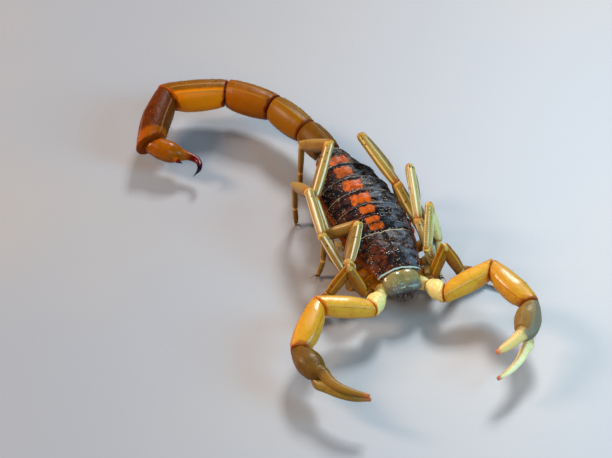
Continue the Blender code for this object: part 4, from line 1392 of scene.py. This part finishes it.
@dataclass
class Leg:
    """One walking leg, from its root ring to its claws."""

    side: Side
    number: int
    lengths: tuple[float, ...]
    bearings: tuple[tuple[float, float], ...]
    last_heading: float
    hip: tuple[float, float, float]
    hip_root: tuple[float, float, float]
    girth: float
    floor_reach: float = 0.14
    floor_sink: float = 0.03
    bead_sizes: tuple[float, ...] = (0.44, 0.54, 0.56, 0.38, 0.27)
    claw_points: tuple[tuple[float, float, float], ...] = (
        (0, -0.25, 0.0), (0, 0.2, 0.14), (0, 0.5, 0.1), (0, 0.72, -0.08))

    def frames(self) -> list[Matrix]:
        """The frame of each stretch, bent in the leg's own plane, with the foot on the floor."""
        across = direction(self.bearings[3]).cross(direction(self.bearings[1]))
        place = Vector((self.side.sign * self.hip[0], self.hip[1], self.hip[2]))
        found = []
        for index, length in enumerate(self.lengths):
            if index < 5:
                bearing = self.bearings[index]
            else:
                drop = min(place.z / length, 1.0)
                rise = self.floor_reach * math.sqrt(1.0 - drop * drop) - self.floor_sink
                bearing = (self.last_heading, -math.degrees(math.asin(min((place.z - rise) / length, 1.0))))
            found.append(seat_across(place, direction(bearing), across))
            place = ahead(found[-1], length)
        return found

    def stretch(self, mesh: bmesh.types.BMesh, index: int, frames: list[Matrix],
                leans: list[tuple[Lean, Lean]], coat: Coat) -> None:
        """Add one stretch to a mesh."""
        shapes = (
            (((0.0, 0.36), (0.5, 0.47), (1.0, 0.44)), ((0.0, 0.38), (0.5, 0.52), (1.0, 0.46))),
            (((0.0, 0.42), (0.4, 0.49), (1.0, 0.45)), ((0.0, 0.5), (0.15, 0.6), (0.5, 0.67), (1.0, 0.64))),
            (((0.0, 0.42), (0.4, 0.48), (1.0, 0.43)), ((0.0, 0.52), (0.15, 0.61), (0.5, 0.7), (1.0, 0.6))),
            (((0.0, 0.46), (0.3, 0.52), (0.8, 0.46), (1.0, 0.37)),
             ((0.0, 0.6), (0.15, 0.66), (0.5, 0.67), (0.85, 0.58), (1.0, 0.48))),
            (((0.0, 0.28), (1.0, 0.26)), ((0.0, 0.32), (0.5, 0.33), (1.0, 0.28))),
            (((0.0, 0.25), (0.5, 0.26), (1.0, 0.16)), ((0.0, 0.28), (0.5, 0.28), (1.0, 0.17))),
        )
        wide, deep = (Curve(tuple((at, half * self.girth) for at, half in shape)) for shape in shapes[index])
        keels = ()
        if index in (1, 2):
            keels = (Keel(90, 0.035, 11.0, 0.0, 0.04, 0.96), Keel(28, 0.035, 10.0, 0.0, 0.06, 0.94),
                     Keel(152, 0.035, 10.0, 0.0, 0.06, 0.94), Keel(-68, 0.03, 7.0, 0.22, 0.06, 0.94),
                     Keel(248, 0.03, 7.0, 0.22, 0.06, 0.94))
        skin = Tube(
            path=straight(frames[index], 0.03, self.lengths[index] - 0.03), width=wide, depth=deep,
            sides=40, rings=34 if index in (1, 2, 3) else 16, rim=0.12, square=0.88, keels=keels,
            start_mitre=leans[index][1], end_mitre=leans[index + 1][0])
        skin.build(mesh)
        coat.grow(skin)

    def build(self, body: Body, finish: bpy.types.Material, soft: bpy.types.Material,
              claw: bpy.types.Material, coat: Coat) -> None:
        """Make the leg's three pieces, its joints and its claws."""
        frames = self.frames()
        sign = self.side.sign
        root = Vector((sign * self.hip_root[0], self.hip_root[1], self.hip_root[2]))
        hip = Vector((sign * self.hip[0], self.hip[1], self.hip[2]))
        first = seat_across(root, hip - root, frames[0].col[0].to_3d())
        leans = [mitres(first, frames[0], 0.9)] + [mitres(a, b, 0.9) for a, b in zip(frames, frames[1:])]
        leans.append(((0.0, 0.0), (0.0, 0.0)))
        label = f"leg_{self.side.value}_{self.number}"
        for part, indexes in (("upper", (0, 1)), ("middle", (2,)), ("lower", (3, 4, 5))):
            mesh = new_mesh()
            for index in indexes:
                self.stretch(mesh, index, frames, leans, coat)
            body.dress(mesh, f"{label}_{part}_skin", finish, (f"{label}_{part}",))
        mesh = new_mesh()
        for index, size in enumerate(self.bead_sizes):
            size *= self.girth
            bead(mesh, frames[index + 1], Vector((size * 0.9, size, size)), 18)
        body.dress(mesh, f"{label}_joints", soft)
        mesh = new_mesh()
        foot = ahead(frames[5], self.lengths[5])
        heading = self.last_heading
        for spread in (-26, 26):
            base = seat(Vector((foot.x, foot.y, 0.2)), (heading + spread, 0))
            points = [base @ Vector(point) for point in self.claw_points]
            taper = Curve(((0.0, 0.09), (0.4, 0.075), (1.0, 0.012)))
            Tube(Path(points, UP), taper, taper, sides=14, rings=14, rim=0.02).build(mesh)
        body.dress(mesh, f"{label}_claws", claw)


@dataclass
class Underside:
    """The breast plate with the ten hips, and the two combs."""

    hips: dict[tuple[Side, int], tuple[Vector, Vector]]
    comb_root: tuple[float, float, float] = (0.75, 6.9, 1.42)
    comb_bearing: tuple[float, float] = (52, 0)
    comb_length: float = 4.3
    comb_teeth: int = 20
    breast_plates: tuple[tuple[float, ...], ...] = (
        (0.0, 4.3, 1.52, 0.5, 0.7), (-0.36, 5.55, 1.66, 0.42, 0.4), (0.36, 5.55, 1.66, 0.42, 0.4))

    def plates(self, mesh: bmesh.types.BMesh) -> None:
        """Add the breast plate and the pair of lids between the combs."""
        for x, y, z, wide, long in self.breast_plates:
            Tube(Path([Vector((x, y - long, z)), Vector((x, y + long, z))], UP),
                 Curve(((0.0, wide * 0.45), (0.6, wide), (1.0, wide * 0.9))), even(0.2),
                 sides=28, rings=16, rim=0.1, square=0.8, grain=Grain(0.25, 0.015, everywhere)).build(mesh)

    def build(self, body: Body, finish: bpy.types.Material, front_finish: bpy.types.Material,
              comb_finish: bpy.types.Material) -> None:
        """Make the hips and the combs."""
        mesh = new_mesh()
        spine = Path([Vector((0, 0.9, 2.15)), Vector((0, 2.5, 2.1)), Vector((0, 4.8, 2.15))], UP)
        Tube(spine, Curve(((0.0, 1.1), (0.5, 2.2), (1.0, 1.7))), Curve(((0.0, 0.4), (0.5, 0.62), (1.0, 0.4))),
             sides=48, rings=24, rim=0.2, square=0.8, grain=Grain(0.3, 0.02, everywhere)).build(mesh)
        fronts = new_mesh()
        for (side, number), (inner, outer) in self.hips.items():
            thick = 0.62 if number else 0.7
            wide = Curve(((0.0, thick * 0.7), (0.6, thick), (1.0, thick * 0.78)))
            Tube(Path([inner, outer], UP), wide, wide, sides=32, rings=20, rim=0.16,
                 keels=(Keel(-90, 0.05, 8.0, 0.2),),
                 grain=Grain(0.2, 0.02, everywhere)).build(mesh if number else fronts)
        self.plates(mesh)
        body.dress(mesh, "underside", finish, ("hips",))
        body.dress(fronts, "arm_hips", front_finish)
        for side in Side:
            heading, pitch = self.comb_bearing
            root = Vector((side.sign * self.comb_root[0], self.comb_root[1], self.comb_root[2]))
            base = seat(root, (side.sign * heading, pitch))
            mesh = new_mesh()
            Tube(straight(base, 0.0, self.comb_length),
                 Curve(((0.0, 0.28), (0.1, 0.36), (0.7, 0.32), (1.0, 0.2))),
                 even(0.2), sides=24, rings=30, rim=0.08, square=0.7).build(mesh)
            for number in range(self.comb_teeth):
                along = self.comb_length * (0.05 + 0.9 * number / (self.comb_teeth - 1))
                long = 1.15 - 0.35 * number / (self.comb_teeth - 1)
                start = base @ Vector((side.sign * 0.1, along, 0))
                end = base @ Vector((side.sign * long, along - 0.05, -0.02))
                shape = Curve(((0.0, 0.085), (0.7, 0.095), (1.0, 0.06)))
                Tube(Path([start, end], UP), shape, shape, sides=10, rings=5, rim=0.05).build(mesh)
            body.dress(mesh, f"comb_{side.value}_skin", comb_finish, (f"comb_{side.value}",))


@dataclass(frozen=True)
class Studio:
    """Plain pale floor, soft light and the camera at the photo's angle."""

    target: tuple[float, float, float] = (-4.664, 13.636, 0.0)
    azimuth: float = -20.0
    elevation: float = 40.0
    distance: float = 300.0
    lens: float = 36.0 * 3000.0 / 612.0

    def build(self, body: Body) -> None:
        """Make the floor, the lights and the camera."""
        self.floor()
        self.light("key_light", (165, 250, 260), 90, 1.0, (0.9, 0.96, 1.0))
        self.light("warm_light", (-190, 130, 150), 75, 0.75, (1.0, 0.76, 0.56))
        self.light("cool_light", (140, -120, 105), 90, 0.42, (0.3, 0.72, 1.0))
        self.light("front_light", (-60, -200, 190), 150, 0.3, (1.0, 0.95, 0.88))
        world = bpy.data.worlds.new("studio")
        world.use_nodes = True
        world.node_tree.nodes["Background"].inputs[0].default_value = (0.86, 0.87, 0.92, 1.0)
        world.node_tree.nodes["Background"].inputs[1].default_value = 0.06
        bpy.context.scene.world = world
        bpy.context.scene.view_settings.view_transform = "Standard"
        data = bpy.data.cameras.new("photo_camera")
        data.sensor_width = 36.0
        data.lens = self.lens
        data.clip_start = 0.01
        data.clip_end = 10.0
        camera = bpy.data.objects.new("photo_camera", data)
        bpy.context.scene.collection.objects.link(camera)
        azimuth, elevation = math.radians(self.azimuth), math.radians(self.elevation)
        level = math.cos(elevation)
        back = Vector((math.sin(azimuth) * level, -math.cos(azimuth) * level, math.sin(elevation)))
        camera.location = body.frame @ (Vector(self.target) + back * self.distance)
        camera.rotation_euler = (-back).to_track_quat("-Z", "Y").to_euler()
        bpy.context.scene.camera = camera

    def floor(self) -> None:
        """Make the table top."""
        mesh = bmesh.new()
        bmesh.ops.create_grid(mesh, x_segments=2, y_segments=2, size=0.6)
        data = bpy.data.meshes.new("table")
        mesh.to_mesh(data)
        mesh.free()
        shader = Shader("pale_table")
        cloud = shader.step(shader.noise(40.0, 2.0), 0.4, 0.7)
        colour = shader.mix(cloud, srgb(150, 150, 156), srgb(157, 152, 152))
        data.materials.append(shader.close(colour, 0.42, shader.bump(shader.noise(0.6, 4.0), 0.06, 0.02)))
        table = bpy.data.objects.new("table", data)
        bpy.context.scene.collection.objects.link(table)

    def light(self, name: str, place: tuple[float, float, float], size: float, power: float,
              colour: tuple[float, float, float]) -> None:
        """Add a square soft light that faces the animal, sizes in millimetres."""
        data = bpy.data.lights.new(name, "AREA")
        data.energy = power
        data.size = size * MM
        data.color = colour
        lamp = bpy.data.objects.new(name, data)
        bpy.context.scene.collection.objects.link(lamp)
        lamp.location = Vector(place) * MM
        lamp.rotation_euler = (-Vector(place)).to_track_quat("-Z", "Y").to_euler()


ARM_BEARINGS = {
    Side.LEFT: {"trochanter": (157, 8), "femur": (85, 14), "patella": (165, -1), "hand": (-151, -11)},
    Side.RIGHT: {"trochanter": (-137, 8), "femur": (-78, 11), "patella": (-142, -6), "hand": (173, 0)},
}
FIXED_FINGERS = {
    Side.LEFT: ((0.4, 4.1, 0.48), (1.15, 5.6, 1.05), (1.75, 6.5, 1.35), (2.4, 7.4, 1.65)),
    Side.RIGHT: ((0.35, 4.1, 0.36), (0.5, 5.5, 0.32), (1.15, 7.05, 0.34), (2.8, 8.8, 0.3)),
}
MOVABLE_FINGERS = {
    Side.LEFT: ((-0.3, 4.3, -0.6), (-0.12, 5.05, -0.45), (0.35, 6.75, -0.18), (1.1, 8.2, 0.08),
                (2.05, 9.4, 0.3)),
    Side.RIGHT: ((-0.22, 4.27, -0.56), (0.06, 5.1, -0.46), (0.85, 6.65, -0.4), (1.8, 7.8, -0.36),
                 (3.05, 8.65, -0.32)),
}
HIPS = {1: (2.65, 0.45, 1.95), 2: (3.0, 1.35, 2.0), 3: (3.3, 2.85, 2.0), 4: (3.5, 4.7, 1.95)}
HIP_ROOTS = {1: (0.8, 1.9, 2.1), 2: (0.8, 2.4, 2.1), 3: (0.8, 3.2, 2.1), 4: (0.8, 4.0, 2.1)}
LEG_LENGTHS = {
    1: (0.95, 3.1, 3.55, 2.85, 1.9, 1.4),
    2: (1.4, 2.5, 4.15, 3.6, 2.65, 1.75),
    3: (1.4, 4.0, 5.55, 4.05, 2.75, 1.75),
    4: (1.95, 6.35, 6.6, 4.45, 3.1, 2.0),
}
LEG_GIRTH = {1: 0.88, 2: 0.95, 3: 1.0, 4: 1.03}
LEG_BEARINGS = {
    (Side.LEFT, 1): ((104, 17), (66, 60), (102, -62), (95, -21), (150, -12), 150),
    (Side.LEFT, 2): ((73, 4), (-83, 72), (24, 31), (140, -71), (-147, -75), -173),
    (Side.LEFT, 3): ((83, -6), (-8, 41), (12, 26), (128, -79), (159, -43), 176),
    (Side.LEFT, 4): ((60, 3), (-10, 27), (-13, 16), (131, -47), (174, -57), 178),
    (Side.RIGHT, 1): ((-104, 14), (-51, 58), (-81, -57), (-119, -25), (-150, -8), -152),
    (Side.RIGHT, 2): ((-75, 2), (2, 71), (32, 20), (-59, -29), (-148, -70), -119),
    (Side.RIGHT, 3): ((-55, 15), (-24, 42), (6, 13), (-3, -28), (-160, -87), -172),
    (Side.RIGHT, 4): ((-28, -3), (-1, 30), (34, 18), (-24, -30), (-147, -77), -155),
}


# The animal's right legs 2 to 4 take a darker, browner copy of the pale leg colour: painted shade
LEG_FINISHES = {
    (Side.LEFT, 1): "brown_leg", (Side.LEFT, 2): "straw_leg", (Side.LEFT, 3): "wheat_leg",
    (Side.LEFT, 4): "olive_leg",
    (Side.RIGHT, 1): "brown_leg", (Side.RIGHT, 2): "shaded_amber_leg", (Side.RIGHT, 3): "shaded_amber_leg",
    (Side.RIGHT, 4): "shaded_amber_leg",
}
# Each finish: ground, shade and ridge colours, then its options. The legs' near-white ridge colours are
# partly painted highlights along their keels
PALETTE = {
    "straw_leg": (((214, 196, 136), (184, 158, 92), (250, 246, 216)), {
        "zones": (Zone(2, 0.3, 0.8, (220, 204, 140), 0.8), Zone(2, -0.1, -0.7, (170, 140, 66)),
                  Zone(1, 0.12, 0.0, (170, 96, 14)), Zone(1, 0.9, 1.0, (214, 176, 80))),
        "dots": 0.9, "clear": 0.3}),
    "wheat_leg": (((166, 142, 82), (138, 108, 48), (242, 230, 190)), {
        "zones": (Zone(2, 0.3, 0.8, (186, 162, 100), 0.8), Zone(2, -0.1, -0.7, (136, 104, 44)),
                  Zone(1, 0.12, 0.0, (164, 88, 10)), Zone(1, 0.9, 1.0, (196, 154, 70))),
        "dots": 0.9, "clear": 0.3}),
    # A darker copy of the pale leg colour, painting the shade on the animal's right legs
    "shaded_amber_leg": (((146, 108, 48), (116, 78, 24), (238, 224, 184)), {
        "zones": (Zone(2, 0.3, 0.8, (166, 130, 66), 0.8), Zone(2, -0.1, -0.7, (116, 76, 22)),
                  Zone(1, 0.12, 0.0, (160, 80, 8)), Zone(1, 0.9, 1.0, (198, 146, 48))),
        "dots": 0.9, "clear": 0.3}),
    "olive_leg": (((142, 108, 40), (114, 80, 20), (214, 190, 124)), {
        "zones": (Zone(2, 0.35, 0.8, (164, 130, 54), 0.7), Zone(2, -0.1, -0.7, (112, 78, 20)),
                  Zone(1, 0.14, 0.0, (156, 76, 4)), Zone(1, 0.9, 1.0, (176, 124, 24))),
        "dots": 0.9, "clear": 0.3}),
    "brown_leg": (((146, 92, 12), (112, 62, 6), (186, 136, 40)), {
        "zones": (Zone(2, -0.1, -0.7, (128, 76, 10)), Zone(1, 0.14, 0.0, (150, 72, 6))),
        "dots": 0.7, "clear": 0.3}),
    "knee": (((206, 166, 84), (156, 98, 30), (214, 180, 90)), {"clear": 0.3}),
    "arm_root": (((238, 212, 132), (214, 176, 80), (250, 240, 190)), {
        "zones": (Zone(1, 0.9, 1.0, (196, 118, 10)),), "clear": 0.3}),
    "arm_joint": (((192, 112, 20), (160, 82, 10), (180, 100, 20)), {}),
    "golden_arm": (((222, 164, 52), (202, 134, 26), (190, 114, 16)), {
        "zones": (Zone(1, 0.12, 0.0, (200, 124, 20)), Zone(1, 0.92, 1.0, (200, 116, 16))),
        "mottle": 0.5, "gloss": 0.25}),
    "orange_arm": (((208, 146, 36), (184, 112, 16), (156, 80, 8)), {
        "zones": (Zone(2, 0.2, 0.7, (210, 148, 36), 0.6), Zone(1, 0.1, 0.0, (196, 116, 14)),
                  Zone(1, 0.88, 1.0, (148, 66, 0))),
        "mottle": 0.5, "gloss": 0.25}),
    "hand_right": (((112, 78, 26), (82, 54, 16), (104, 70, 24)), {
        "shine": 0.14, "gloss": 0.03, "grit": 0.5,
        "zones": (Zone(1, 0.42, 0.56, (140, 100, 36)), Zone(1, 0.9, 0.98, (176, 98, 56))), "roughness": 0.3}),
    "finger_right": (((152, 120, 46), (124, 90, 30), (176, 142, 76)), {
        "zones": (Zone(1, 0.3, 0.1, (104, 70, 14)), Zone(1, 0.86, 0.98, (180, 100, 58)))}),
    "hand_left": (((142, 110, 56), (106, 80, 38), (148, 118, 70)), {
        "shine": 0.14, "gloss": 0.03, "grit": 0.5,
        "zones": (Zone(0, 0.0, -0.5, (118, 106, 88)), Zone(1, 0.46, 0.58, (224, 186, 112)),
                  Zone(1, 0.92, 0.98, (206, 124, 84)))}),
    "finger_left": (((246, 226, 168), (226, 196, 120), (206, 146, 96)), {
        "zones": (Zone(1, 0.28, 0.1, (138, 104, 40)), Zone(1, 0.93, 0.99, (198, 112, 80))), "clear": 0.35}),
    "tail_root": (((108, 68, 6), (86, 50, 2), (132, 92, 30)), {
        "shine": 0.1, "gloss": 0.0,
        "zones": (Zone(1, 0.08, 0.0, (100, 44, 2)), Zone(1, 0.95, 1.0, (120, 56, 2)))}),
    "tail_olive": (((126, 82, 6), (102, 62, 2), (156, 112, 42)), {
        "shine": 0.1, "gloss": 0.03,
        "zones": (Zone(2, 0.4, 0.8, (140, 86, 2), 0.8), Zone(2, -0.2, -0.5, (110, 78, 28)),
                  Zone(1, 0.08, 0.0, (112, 50, 2)), Zone(1, 0.95, 1.0, (120, 56, 2)))}),
    "tail_amber": (((136, 78, 2), (110, 58, 1), (160, 106, 36)), {
        "shine": 0.1, "gloss": 0.03,
        "zones": (Zone(2, 0.4, 0.8, (156, 84, 0), 0.8), Zone(2, -0.2, -0.5, (116, 76, 30)),
                  Zone(1, 0.07, 0.0, (104, 36, 0)), Zone(1, 0.95, 1.0, (128, 54, 0)))}),
    "tail_orange": (((128, 78, 10), (104, 60, 8), (160, 116, 56)), {
        "shine": 0.1, "gloss": 0.03,
        "zones": (Zone(2, 0.4, 0.62, (220, 120, 0)), Zone(2, -0.2, -0.5, (104, 70, 30)),
                  Zone(1, 0.06, 0.0, (120, 44, 0)), Zone(1, 0.95, 1.0, (160, 74, 0)))}),
    "tail_umber": (((92, 42, 10), (70, 30, 12), (146, 104, 76)), {
        "shine": 0.06, "gloss": 0.0,
        "zones": (Zone(2, 0.4, 0.8, (92, 46, 12), 0.8), Zone(1, 0.1, 0.0, (96, 46, 8)),
                  Zone(1, 0.78, 0.86, (146, 72, 4)), Zone(1, 0.95, 1.0, (120, 50, 2)))}),
    "sting_bulb": (((152, 80, 2), (126, 58, 0), (172, 102, 16)), {
        "zones": (Zone(1, 0.1, 0.0, (120, 52, 0)), Zone(1, 0.5, 0.62, (92, 10, 6)),
                  Zone(1, 0.7, 0.84, (26, 6, 30))), "roughness": 0.24, "gloss": 0.12, "shine": 0.1}),
    # The jaws grey and darken towards their downturned front: the grey zone is painted sheen and shade there;
    # the dark zone at the tips is their own colour
    "olive_jaw": (((140, 126, 80), (100, 86, 50), (190, 182, 132)), {
        "zones": (Zone(1, 0.42, 0.2, (144, 124, 68)), Zone(1, 0.5, 0.76, (92, 90, 88), 0.85),
                  Zone(1, 0.86, 1.0, (64, 46, 50))), "roughness": 0.24, "grit": 0.7,
        "clear": 0.35, "gloss": 0.45}),
    "leg_root": (((156, 94, 12), (122, 66, 6), (186, 128, 44)), {}),
    "comb_bone": (((208, 182, 120), (180, 148, 86), (220, 200, 150)), {}),
    "bristle": (((104, 62, 16), (84, 46, 10), (170, 130, 80)), {
        "zones": (Zone(1, 0.3, 1.0, (196, 158, 100)),)}),
}


def main() -> None:
    """Build the scorpion and its studio."""
    logging.basicConfig(level=logging.INFO, format="%(message)s")
    random.seed(SEED)
    body = Body()
    front = DarkPlate("front_plate", blotch=0.9, spread=0.14, painted_warm_light=0.4, painted_sheen=0.8, mark=(0.36, 0.9)).build()
    dark = DarkPlate("back_plate", painted_warm_light=0.4, painted_sheen=0.7).build()
    last = DarkPlate("last_plate", spread=0.4, painted_warm_light=0.8, scratch=(104, 70, 40), mark=(0.16, 0.58)).build()
    shield = DarkPlate(
        "shield_plate", 0.0, 0.5, painted_sheen=0.8, scratch=(100, 56, 28), painted_warm_light=0.7, front_rim=0.9).build()
    eye = WetBead("eye_bead").build()
    claw = WetBead("claw_horn", (60, 34, 22), (110, 66, 40), 0.25).build()
    horn = WetBead("jaw_horn", (40, 20, 14), (96, 52, 30), 0.12).build()
    soft = SoftSkin("joint_skin", (140, 54, 16), (58, 18, 10)).build()
    finishes = {name: Cuticle(name, *tones, **options).build() for name, (tones, options) in PALETTE.items()}
    Carapace().build(body, shield, eye)
    Mesosoma().build(body, [front] * 3 + [dark] * 3 + [last])
    tail = [finishes[f"tail_{word}"] for word in ("root", "olive", "amber", "orange", "umber")]
    tail_coat, arm_coat, leg_coat = Coat(0.3, 0.6), Coat(0.4, 0.5), Coat(0.5, 0.42)
    Metasoma().build(body, tail, soft, finishes["sting_bulb"], tail_coat)
    hips = {}
    for side in Side:
        Chelicera(side).build(body, finishes["olive_jaw"], horn)
        arm = Pedipalp(side, ARM_BEARINGS[side], FIXED_FINGERS[side], MOVABLE_FINGERS[side])
        arm.build(body, {
            "trochanter": finishes["arm_root"], "femur": finishes["golden_arm"],
            "patella": finishes["orange_arm"], "hand": finishes[f"hand_{side.value}"],
            "finger": finishes[f"finger_{side.value}"], "joint": finishes["arm_joint"]}, arm_coat)
        base, length = arm.hip_frame()
        hips[(side, 0)] = (base.translation.copy(), ahead(base, length))
        for number in HIPS:
            *bearings, last = LEG_BEARINGS[(side, number)]
            leg = Leg(side, number, LEG_LENGTHS[number], tuple(bearings), last,
                      HIPS[number], HIP_ROOTS[number],
                      LEG_GIRTH[number])
            leg.build(body, finishes[LEG_FINISHES[(side, number)]], finishes["knee"], claw, leg_coat)
            inner, outer = (Vector((side.sign * x, y, z)) for x, y, z in (HIP_ROOTS[number], HIPS[number]))
            hips[(side, number)] = (inner, outer)
    Underside(hips).build(body, finishes["leg_root"], finishes["arm_root"], finishes["comb_bone"])
    tail_coat.finish(body, "tail_hairs", finishes["bristle"], Slot.TAIL_PLATE)
    arm_coat.finish(body, "arm_hairs", finishes["bristle"], Slot.ARM)
    leg_coat.finish(body, "leg_hairs", finishes["bristle"], Slot.LEG)
    Studio().build(body)
    log.info("%d triangles in all", body.triangles)


if __name__ == "__main__":
    main()
